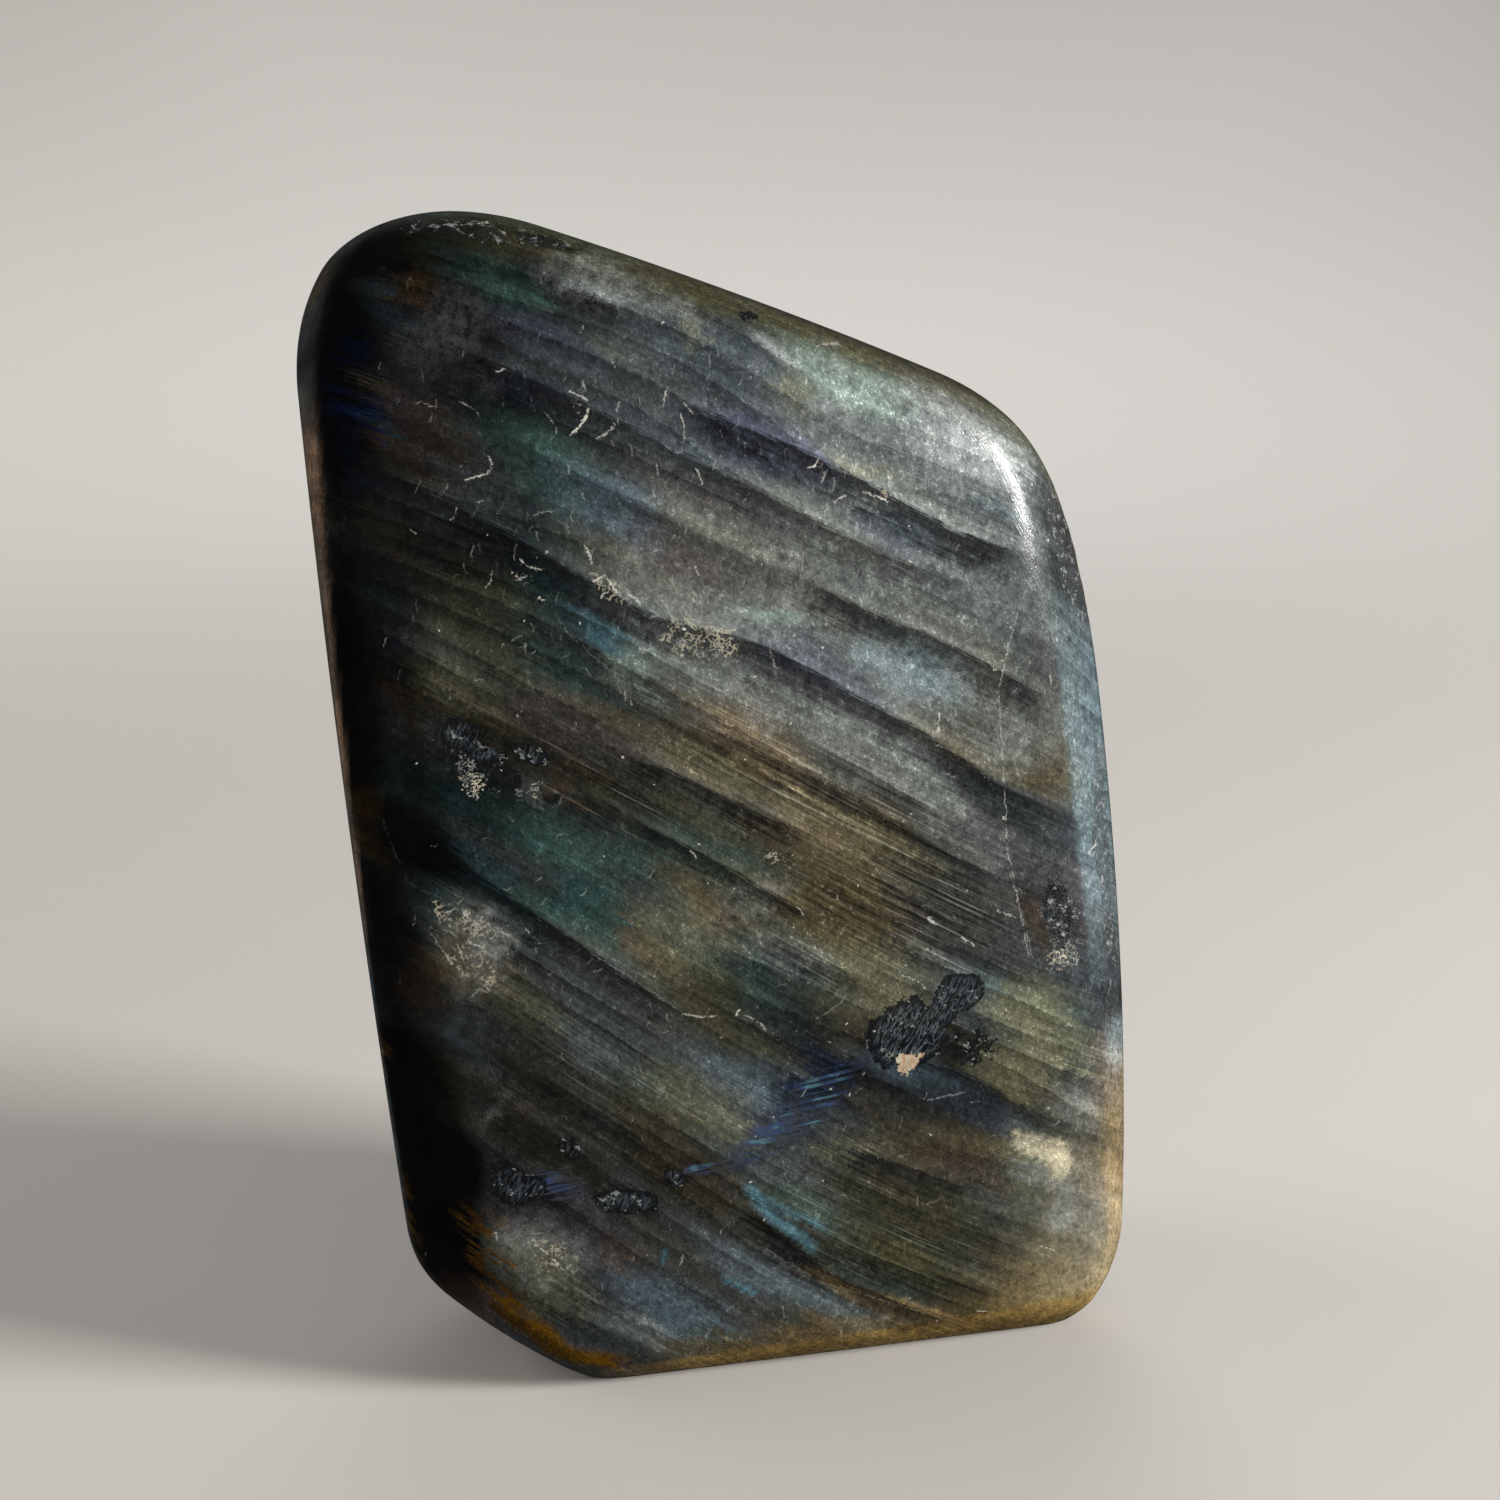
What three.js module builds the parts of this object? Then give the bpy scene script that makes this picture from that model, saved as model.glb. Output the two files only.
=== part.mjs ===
// A free-standing piece of labradorite: one stone, sawn flat under its foot, ground to a
// slanting slab with softened edges and polished all over.
// Millimetres, +Z up. The best face looks towards -Y and the stone stands on the plane z = 0.
import * as THREE from 'three';

// Driving dimensions
const HALF_WIDTH = 37.5;
const HALF_DEPTH = 16.4;
const HEIGHT = 104.8;

// The faces that the grinding wheel left, in the order in which each is softened into the rest.
// azimuth and elevation are the way a face looks, in degrees: azimuth 0 is the front, 90 is +X.
// touch is a point on the face, bow the radius of its slight swell (0 is a flat face),
// and blend is how far, in millimetres, its edge is rounded off.
const FACES = [
  { name: 'front', touch: [4.5, -16.4, 24], azimuth: 0, elevation: 0, bow: 420, blend: 0 },
  { name: 'back', touch: [0, 16.4, 45], azimuth: 180, elevation: 0, bow: 300, blend: 6 },
  { name: 'left side', touch: [-36.3, 0, 66], azimuth: -90, elevation: -3.6, bow: 1500, blend: 2.5 },
  { name: 'slanting top', touch: [1, 0, 97.5], azimuth: 90, elevation: 70, bow: 450, blend: 6 },
  { name: 'high corner', touch: [-34.8, 0, 102], azimuth: -90, elevation: 54, bow: 0, blend: 9 },
  { name: 'right side', touch: [34.7, -4, 60], azimuth: 92, elevation: 8, bow: 600, blend: 5 },
  { name: 'right side low', touch: [39.1, -4, 14], azimuth: 92, elevation: -2, bow: 600, blend: 8 },
  { name: 'shoulder', touch: [30, -4, 80.5], azimuth: 90, elevation: 30, bow: 250, blend: 5 },
  { name: 'brow', touch: [24.4, -12.1, 85.1], azimuth: 34, elevation: 27, bow: 0, blend: 5 },
  { name: 'right front bevel', touch: [28, -11.3, 71], azimuth: 45, elevation: 10, bow: 500, blend: 2.5 },
  { name: 'right back bevel', touch: [28.5, 12.5, 60], azimuth: 138, elevation: 8, bow: 400, blend: 5 },
  { name: 'left low bevel', touch: [-26, -15.5, 17], azimuth: -30, elevation: -6, bow: 0, blend: 1.5 },
  { name: 'left high bevel', touch: [-30, -13.5, 93], azimuth: -40, elevation: 16, bow: 0, blend: 7 },
  { name: 'left foot', touch: [-28, 0, 7.8], azimuth: -90, elevation: -55, bow: 0, blend: 4.5 },
  { name: 'right foot', touch: [36, 0, 3.5], azimuth: 90, elevation: -50, bow: 0, blend: 4 },
  { name: 'front foot', touch: [6, -14.7, 1.8], azimuth: 0, elevation: -42, bow: 0, blend: 1.5 },
  { name: 'back foot', touch: [6, 14.4, 1.8], azimuth: 180, elevation: -42, bow: 0, blend: 1.5 },
];

// How finely the surface is faceted
const COLUMNS_ACROSS = 30;   // columns on the front, and again on the back
const COLUMNS_DEEP = 14;     // columns on each narrow side
const RINGS = 40;            // rings from the foot's rim up to the crown
const PROFILE_STEPS = 240;   // steps of the fine profile that a column's points are taken from
const HALVINGS = 32;         // halvings of a search along a line out of the stone
const FAR = 100;             // a distance that is surely outside, in millimetres

// The way a face looks, as a unit vector.
function facing(azimuth, elevation) {
  const turn = THREE.MathUtils.degToRad(azimuth);
  const rise = THREE.MathUtils.degToRad(elevation);
  return new THREE.Vector3(
    Math.sin(turn) * Math.cos(rise),
    -Math.cos(turn) * Math.cos(rise),
    Math.sin(rise),
  );
}

// Each face with its outward normal and, for a bowed face, the centre of its sphere.
const groundFaces = FACES.map((face) => {
  const normal = facing(face.azimuth, face.elevation);
  const touch = new THREE.Vector3(...face.touch);
  const centre = touch.clone().addScaledVector(normal, -face.bow);
  return { ...face, normal, touch, centre };
});

// How far a point stands out of one face, in millimetres, and negative behind it.
function standsOut(face, point) {
  if (face.bow > 0) {
    return point.distanceTo(face.centre) - face.bow;
  }
  return point.clone().sub(face.touch).dot(face.normal);
}

// The larger of two distances, rounded off by a parabola where they are within the blend.
function roundedLarger(a, b, blend) {
  const overlap = blend > 0 ? Math.max(blend - Math.abs(a - b), 0) : 0;
  return Math.max(a, b) + (overlap > 0 ? (overlap * overlap) / (4 * blend) : 0);
}

// How far a point stands out of the whole polished surface, above the flat foot.
function outsideStone(point) {
  return groundFaces.reduce(
    (soFar, face) => roundedLarger(soFar, standsOut(face, point), face.blend),
    -FAR,
  );
}

// The point where a line from inside the stone comes out of its surface.
function surfacePoint(from, direction) {
  let near = 0;
  let far = FAR;
  const point = new THREE.Vector3();
  for (let i = 0; i < HALVINGS; i += 1) {
    const middle = (near + far) / 2;
    point.copy(from).addScaledVector(direction, middle);
    if (outsideStone(point) > 0) {
      far = middle;
    } else {
      near = middle;
    }
  }
  return point.copy(from).addScaledVector(direction, far);
}

// The column directions: even steps round a rectangle as wide and as deep as the stone.
function columnDirections() {
  const directions = [];
  const side = (count, place) => {
    for (let i = 0; i < count; i += 1) {
      directions.push(place(-1 + (2 * i) / count));
    }
  };
  side(COLUMNS_ACROSS, (t) => new THREE.Vector3(t * HALF_WIDTH, -HALF_DEPTH, 0));
  side(COLUMNS_DEEP, (t) => new THREE.Vector3(HALF_WIDTH, t * HALF_DEPTH, 0));
  side(COLUMNS_ACROSS, (t) => new THREE.Vector3(-t * HALF_WIDTH, HALF_DEPTH, 0));
  side(COLUMNS_DEEP, (t) => new THREE.Vector3(-HALF_WIDTH, -t * HALF_DEPTH, 0));
  return directions;
}

// One column of points up the stone, from the rim of the foot to the crown: a fine profile is
// swept from the rim to straight up, then cut into steps of equal length along the surface.
function columnPoints(outward) {
  const foot = new THREE.Vector3(0, 0, 0);
  const core = new THREE.Vector3(0, 0, HEIGHT / 2);
  const rim = surfacePoint(foot, outward.clone().normalize());
  const rimRise = Math.atan2(-1, Math.hypot(rim.x, rim.y) / outward.length());
  const profile = [rim];
  for (let i = 1; i <= PROFILE_STEPS; i += 1) {
    const rise = THREE.MathUtils.lerp(rimRise, Math.PI / 2, i / PROFILE_STEPS);
    const direction = outward.clone().multiplyScalar(Math.cos(rise));
    direction.z = (HEIGHT / 2) * Math.sin(rise);
    profile.push(surfacePoint(core, direction.normalize()));
  }
  return evenSteps(profile, RINGS);
}

// The points that cut a polyline into a number of steps of equal length, its ends included.
function evenSteps(line, count) {
  const travelled = [0];
  for (let i = 1; i < line.length; i += 1) {
    travelled.push(travelled[i - 1] + line[i].distanceTo(line[i - 1]));
  }
  const whole = travelled[travelled.length - 1];
  const points = [line[0].clone()];
  let at = 1;
  for (let step = 1; step < count; step += 1) {
    const wanted = (whole * step) / count;
    while (travelled[at] < wanted) {
      at += 1;
    }
    const share = (wanted - travelled[at - 1]) / (travelled[at] - travelled[at - 1]);
    points.push(line[at - 1].clone().lerp(line[at], share));
  }
  points.push(line[line.length - 1].clone());
  return points;
}

// The closed surface: rings of points up to one crown point, and the flat foot as a fan.
function stoneGeometry() {
  const columns = columnDirections().map(columnPoints);
  const around = columns.length;
  const positions = [];
  for (let ring = 0; ring < RINGS; ring += 1) {
    columns.forEach((column) => positions.push(...column[ring].toArray()));
  }
  const crown = positions.length / 3;
  positions.push(...columns[0][RINGS].toArray());
  const sole = crown + 1;
  positions.push(0, 0, 0);

  const triangles = [];
  for (let i = 0; i < around; i += 1) {
    const next = (i + 1) % around;
    for (let ring = 0; ring + 1 < RINGS; ring += 1) {
      const low = ring * around;
      const high = low + around;
      triangles.push(low + i, low + next, high + next);
      triangles.push(low + i, high + next, high + i);
    }
    const last = (RINGS - 1) * around;
    triangles.push(last + i, last + next, crown);
    triangles.push(next, i, sole);
  }

  const geometry = new THREE.BufferGeometry();
  geometry.setAttribute('position', new THREE.Float32BufferAttribute(positions, 3));
  geometry.setIndex(triangles);
  geometry.computeVertexNormals();
  return geometry;
}

// Polished labradorite: dark blue-grey feldspar under a glassy polish.
const polishedLabradorite = new THREE.MeshStandardMaterial({
  color: new THREE.Color(0x3c4345),
  roughness: 0.18,
  metalness: 0,
});

const stone = new THREE.Mesh(stoneGeometry(), polishedLabradorite);
stone.name = 'labradorite';

const object = new THREE.Group();
object.add(stone);

export default object;
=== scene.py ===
import math

import bpy
import numpy as np
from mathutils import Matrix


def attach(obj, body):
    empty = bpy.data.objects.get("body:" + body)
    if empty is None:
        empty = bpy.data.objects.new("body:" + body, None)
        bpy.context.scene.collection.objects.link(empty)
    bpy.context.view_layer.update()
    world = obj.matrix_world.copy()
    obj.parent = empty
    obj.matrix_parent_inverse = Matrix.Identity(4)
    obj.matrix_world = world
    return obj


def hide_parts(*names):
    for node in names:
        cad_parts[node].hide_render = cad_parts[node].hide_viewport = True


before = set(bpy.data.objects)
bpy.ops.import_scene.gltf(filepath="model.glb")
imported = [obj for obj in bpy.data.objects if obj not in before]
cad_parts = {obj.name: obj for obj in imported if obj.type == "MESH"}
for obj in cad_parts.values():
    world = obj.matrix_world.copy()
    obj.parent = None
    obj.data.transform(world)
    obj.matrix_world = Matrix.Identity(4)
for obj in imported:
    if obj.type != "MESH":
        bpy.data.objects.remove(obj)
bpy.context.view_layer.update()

# The stone's body
# One piece of labradorite, sawn flat under its foot and ground on a wheel to a slanting slab.
# Each face that the wheel left is flat or swells slightly, and is softened into the ones before it.
# Lengths are in millimetres here, and the finished points are turned into metres.
HALF_WIDTH = 37.5
HALF_DEPTH = 16.4
HEIGHT = 104.8
FACES = [
    # face, a point on it, azimuth, elevation, radius of its swell (0 is flat), blend
    ("front", (4.5, -16.4, 24), 0, 0, 420, 0),
    ("back", (0, 16.4, 45), 180, 0, 300, 6),
    ("left side", (-36.3, 0, 66), -90, -3.6, 1500, 2.5),
    ("slanting top", (1, 0, 97.5), 90, 70, 450, 6),
    ("high corner", (-34.8, 0, 102), -90, 54, 0, 9),
    ("right side", (34.7, -4, 60), 92, 8, 600, 5),
    ("right side low", (39.1, -4, 14), 92, -2, 600, 8),
    ("shoulder", (30, -4, 80.5), 90, 30, 250, 5),
    ("brow", (24.4, -12.1, 85.1), 34, 27, 0, 5),
    ("right front bevel", (28, -11.3, 71), 45, 10, 500, 2.5),
    ("right back bevel", (28.5, 12.5, 60), 138, 8, 400, 5),
    ("left low bevel", (-26, -15.5, 17), -30, -6, 0, 1.5),
    ("left high bevel", (-30, -13.5, 93), -40, 16, 0, 7),
    ("left foot", (-28, 0, 7.8), -90, -55, 0, 4.5),
    ("right foot", (36, 0, 3.5), 90, -50, 0, 4),
    ("front foot", (6, -14.7, 1.8), 0, -42, 0, 1.5),
    ("back foot", (6, 14.4, 1.8), 180, -42, 0, 1.5),
]
COLUMNS = {"front": 230, "right": 60, "back": 90, "left": 40}
RINGS = 220           # rings of points from the foot's rim up to the crown
PROFILE_STEPS = 420   # steps of the fine profile that a column's points are taken from
HALVINGS = 28         # halvings of a search along a line out of the stone
FAR = 100             # a distance that is surely outside, in millimetres
SLOPE_REACH = 0.05    # how far each way a slope of the surface is measured, in millimetres
MM = 0.001


def facing(azimuth, elevation):
    """Unit vector of the way a face looks: azimuth 0 is the front, 90 is +X."""
    turn = math.radians(azimuth)
    rise = math.radians(elevation)
    return np.array([math.sin(turn) * math.cos(rise), -math.cos(turn) * math.cos(rise), math.sin(rise)])


def stands_out(face, points):
    """How far points stand out of a face: along its normal, or from its sphere's centre less the radius."""
    _, touch, azimuth, elevation, bow, _ = face
    normal = facing(azimuth, elevation)
    if bow == 0:
        return (points - np.array(touch)) @ normal
    return np.linalg.norm(points - (np.array(touch) - bow * normal), axis=-1) - bow


def outside_stone(points):
    """Face by face, the larger distance, plus a parabola (blend - |a - b|)^2 / (4 blend) where they meet."""
    so_far = stands_out(FACES[0], points)
    for face in FACES[1:]:
        new = stands_out(face, points)
        blend = face[-1]
        overlap = np.maximum(blend - np.abs(so_far - new), 0)
        so_far = np.maximum(so_far, new) + overlap**2 / (4 * blend)
    return so_far


def surface_points(start, directions):
    """Where lines from a point inside come out of the stone, by halving the stretch that holds it."""
    near = np.zeros(directions.shape[:-1])
    far = np.full(directions.shape[:-1], float(FAR))
    for _ in range(HALVINGS):
        middle = (near + far) / 2
        out = outside_stone(start + directions * middle[..., None]) > 0
        far = np.where(out, middle, far)
        near = np.where(out, near, middle)
    return start + directions * far[..., None]


def unit(vectors):
    """Vectors divided by their length."""
    return vectors / np.linalg.norm(vectors, axis=-1, keepdims=True)


def column_directions():
    """Even steps round a rectangle as wide and as deep as the stone, from its front left corner."""
    steps = {side: -1 + 2 * np.arange(count) / count for side, count in COLUMNS.items()}
    walks = [
        (steps["front"] * HALF_WIDTH, np.full(COLUMNS["front"], -HALF_DEPTH)),
        (np.full(COLUMNS["right"], HALF_WIDTH), steps["right"] * HALF_DEPTH),
        (-steps["back"] * HALF_WIDTH, np.full(COLUMNS["back"], HALF_DEPTH)),
        (np.full(COLUMNS["left"], -HALF_WIDTH), -steps["left"] * HALF_DEPTH),
    ]
    x = np.concatenate([walk[0] for walk in walks])
    y = np.concatenate([walk[1] for walk in walks])
    return np.stack([x, y, np.zeros_like(x)], axis=-1)


def column_profiles(outward):
    """Profiles swept from the foot's rim to straight up: the line's direction is
    outward * cos(rise) + up * half the height * sin(rise), from the stone's middle."""
    rims = surface_points(np.zeros(3), unit(outward))
    reach = np.linalg.norm(rims, axis=-1) / np.linalg.norm(outward, axis=-1)
    rim_rise = np.arctan2(-1, reach)
    share = np.linspace(0, 1, PROFILE_STEPS + 1)
    rise = rim_rise[:, None] * (1 - share) + math.pi / 2 * share
    core = np.array([0, 0, HEIGHT / 2])
    directions = outward[:, None, :] * np.cos(rise)[..., None] + core * np.sin(rise)[..., None]
    profiles = surface_points(core, unit(directions))
    profiles[:, 0] = rims
    return profiles


def even_steps(profiles, count):
    """Each profile cut into steps of equal length: the columns are laid end to end on one
    line of travelled shares, 2 apart, so that one interpolation serves them all."""
    lengths = np.linalg.norm(np.diff(profiles, axis=1), axis=-1)
    travelled = np.concatenate([np.zeros((len(profiles), 1)), np.cumsum(lengths, axis=1)], axis=1)
    apart = 2 * np.arange(len(profiles))[:, None]
    known = (travelled / travelled[:, -1:] + apart).ravel()
    wanted = (np.linspace(0, 1, count + 1)[None, :] + apart).ravel()
    axes = [np.interp(wanted, known, profiles[..., axis].ravel()) for axis in range(3)]
    return np.stack(axes, axis=-1).reshape(len(profiles), count + 1, 3)


def stone_points():
    """All points: ring by ring round the columns, then the crown and the middle of the foot."""
    columns = even_steps(column_profiles(column_directions()), RINGS)
    rings = columns[:, :RINGS].transpose(1, 0, 2).reshape(-1, 3)
    return np.concatenate([rings, columns[:1, RINGS], np.zeros((1, 3))])


def stone_triangles():
    """Two triangles for each cell between rings, a fan at the crown and a fan for the flat foot."""
    around = sum(COLUMNS.values())
    here = np.arange(around)
    after = np.roll(here, -1)
    low = (np.arange(RINGS - 1) * around)[:, None]
    high = low + around
    lower = np.stack([low + here, low + after, high + after], axis=-1).reshape(-1, 3)
    upper = np.stack([low + here, high + after, high + here], axis=-1).reshape(-1, 3)
    last = (RINGS - 1) * around
    crown = np.full(around, RINGS * around)
    crown_fan = np.stack([last + here, last + after, crown], axis=-1)
    foot_fan = np.stack([after, here, crown + 1], axis=-1)
    return np.concatenate([lower, upper, crown_fan, foot_fan])


def stone_normals(points):
    """Slope of the distance field across a short reach each way, made unit length."""
    slopes = []
    for axis in range(3):
        step = np.zeros(3)
        step[axis] = SLOPE_REACH
        slopes.append(outside_stone(points + step) - outside_stone(points - step))
    return unit(np.stack(slopes, axis=-1))


points = stone_points()
normals = stone_normals(points)
x, y, z = points.T

# The stone's grain
# Labradorite is built of thin twin lamellae, which show as slanting streaks on every face.
# They slope down to the right, more steeply towards the lower left, and lean back into the stone.
SEED = 7


def spot_values(cells, seed):
    """A settled random value from 0 to 1 for each whole-numbered cell, by mixing its three numbers."""
    mixed = cells[..., 0] * 374761393 + cells[..., 1] * 668265263 + cells[..., 2] * 974634777
    mixed = (mixed + seed * 1013904223) & 0xFFFFFFFF
    mixed = ((mixed ^ (mixed >> 13)) * 1274126177) & 0xFFFFFFFF
    mixed = ((mixed ^ (mixed >> 16)) * 2246822519) & 0xFFFFFFFF
    return ((mixed ^ (mixed >> 15)) & 0xFFFFFF) / 0xFFFFFF


def clouds(places, seed, octaves=1):
    """Soft random value from 0 to 1: cell values joined by smooth steps, each octave half as large
    and half as strong as the one before."""
    total = 0
    weights = 0
    for octave in range(octaves):
        scaled = places * 2**octave
        cells = np.floor(scaled).astype(np.int64)
        inner = scaled - cells
        ease = inner * inner * (3 - 2 * inner)
        value = 0
        for corner in np.ndindex(2, 2, 2):
            share = np.prod(np.where(corner, ease, 1 - ease), axis=-1)
            value = value + share * spot_values(cells + np.array(corner), seed + octave)
        total = total + value / 2**octave
        weights += 1 / 2**octave
    return total / weights


def smooth(low, high, value):
    """Smooth step from 0 at low to 1 at high."""
    share = np.clip((value - low) / (high - low), 0, 1)
    return share * share * (3 - 2 * share)


# across counts lamellae up the stone, and along and through run with them and into the stone.
# The level lines of across slope more steeply lower down and to the left.
GRAIN_SLANT = math.radians(30)
SLOPE = 0.46          # how far the lamellae fall for each millimetre to the right, at the stone's top
SLOPE_GAIN = 0.004    # what is added to that for each millimetre further down
CURVE = 0.0013        # how much less they fall for each millimetre to the right, at the top
CURVE_GAIN = 0.00012  # what is added to that for each millimetre further down
LEAN_BACK = 0.3       # how far they fall for each millimetre into the stone
TWIST = 0.15          # how much through grows for each millimetre to the right
EVEN_FROM = 92        # the height from which they slope as at the stone's top
STEEPEST_AFTER = 55   # how far under that they are steepest
below = np.clip(EVEN_FROM - z, 0, STEEPEST_AFTER)
across = z + (SLOPE + SLOPE_GAIN * below) * x - (CURVE + CURVE_GAIN * below) * x**2 / 2 + LEAN_BACK * y
along = x * math.cos(GRAIN_SLANT) - z * math.sin(GRAIN_SLANT)
through = y + TWIST * x


def drawn_out(length, height, depth, seed, octaves=2):
    """Clouds whose blots have this length along the grain, height across it and depth through it."""
    return clouds(np.stack([along / length, across / height, through / depth], axis=-1), seed, octaves)


# The relief of the polish
# The polish is slightly wavy, and where the rock was broken or soft it is pitted and unpolished:
# on the right bevel, in a chipped corner beside it, in a dark pit and in a pocket on the top edge.
front = smooth(0.12, 0.5, -normals[:, 1])      # 1 where the surface looks to the front
wander = np.stack([clouds(points / 4, SEED), clouds(points / 4, SEED + 1)], axis=-1) - 0.5
EDGE_WANDER = 2.2    # how far the edges of patches wander sideways, in millimetres
EDGE_RISE = 0.6      # the share of that by which they wander up and down
ragged_face = (x + EDGE_WANDER * wander[:, 0], z + EDGE_WANDER * EDGE_RISE * wander[:, 1])


def patch(middle_x, middle_z, long, short, tilt=30, edge=0.5, face=ragged_face):
    """Soft ellipse on the front: 1 inside, 0 outside, its long axis tilted down to the right.
    The wider its edge, the softer it is."""
    turn = math.radians(tilt)
    right = face[0] - middle_x
    up = face[1] - middle_z
    lengthwise = right * math.cos(turn) - up * math.sin(turn)
    sideways = right * math.sin(turn) + up * math.cos(turn)
    distance = np.sqrt((lengthwise / long) ** 2 + (sideways / short) ** 2)
    return front * (1 - smooth(1 - edge, 1 + edge, distance))


def together(patches):
    """The strongest of several patches at each point."""
    return np.max([strength * patch(*place) for strength, *place in patches], axis=0)


rough = together([
    # strength, x, z, half length, half width, tilt
    (0.9, 29.6, 75, 7.5, 1.9, 70),
    (1.0, 33.0, 45, 13, 1.3, 86),
    (1.0, 27.6, 42, 4.2, 1.7, 75),
    (0.3, -25, 60, 4.2, 3, 50),
    (0.7, -24, 103.4, 4.5, 1.0, 4),
    (0.6, -17, 102.4, 3, 0.6, 16),
])
coarse = clouds(points / 1.7, SEED + 4, 2)
broken = np.clip((coarse - 0.35) * 1.6, 0, 1) * rough
waves = clouds(points / 22, SEED + 5)
RELIEF = {"broken": 0.55, "waves": 0.12}   # greatest depths, in millimetres
inward = RELIEF["broken"] * broken + RELIEF["waves"] * waves * smooth(0.5, 6, z)
points = points - normals * inward[:, None]

# The colour of the stone
# Grey-green to blue-grey feldspar with brown, olive and deep blue fields, painted as soft patches
# that follow the lamellae. The palette is the stone's own colours as a maker would name them.
PALETTE = {
    "coal": 0x050606, "charcoal": 0x151719, "slate": 0x2A2E30, "ash": 0x454A4B, "dove": 0x676C6B,
    "pearl": 0x979C9D, "mist": 0x6A787E, "steel": 0x434F58, "teal": 0x1C3638, "sea": 0x384D4A,
    "mint": 0x76877F, "moss": 0x23271A, "fern": 0x2E2E22, "olive": 0x3A3628, "sage": 0x595A4A,
    "sand": 0x85775F, "ochre": 0x4A340E, "honey": 0x635438, "umber": 0x2A231D, "rust": 0x4A3A2E,
    "mauve": 0x3A3638, "violet": 0x3D404E, "ink": 0x0E1015, "navy": 0x131823, "royal": 0x0A1538,
    "cobalt": 0x32456C, "sky": 0x46636F, "cyan": 0x4C7484, "cream": 0xB8B19D, "frost": 0xC4C4BC,
    "tan": 0xB58F6C, "bone": 0x9E9987, "taupe": 0x6E5D50,
}
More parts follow.
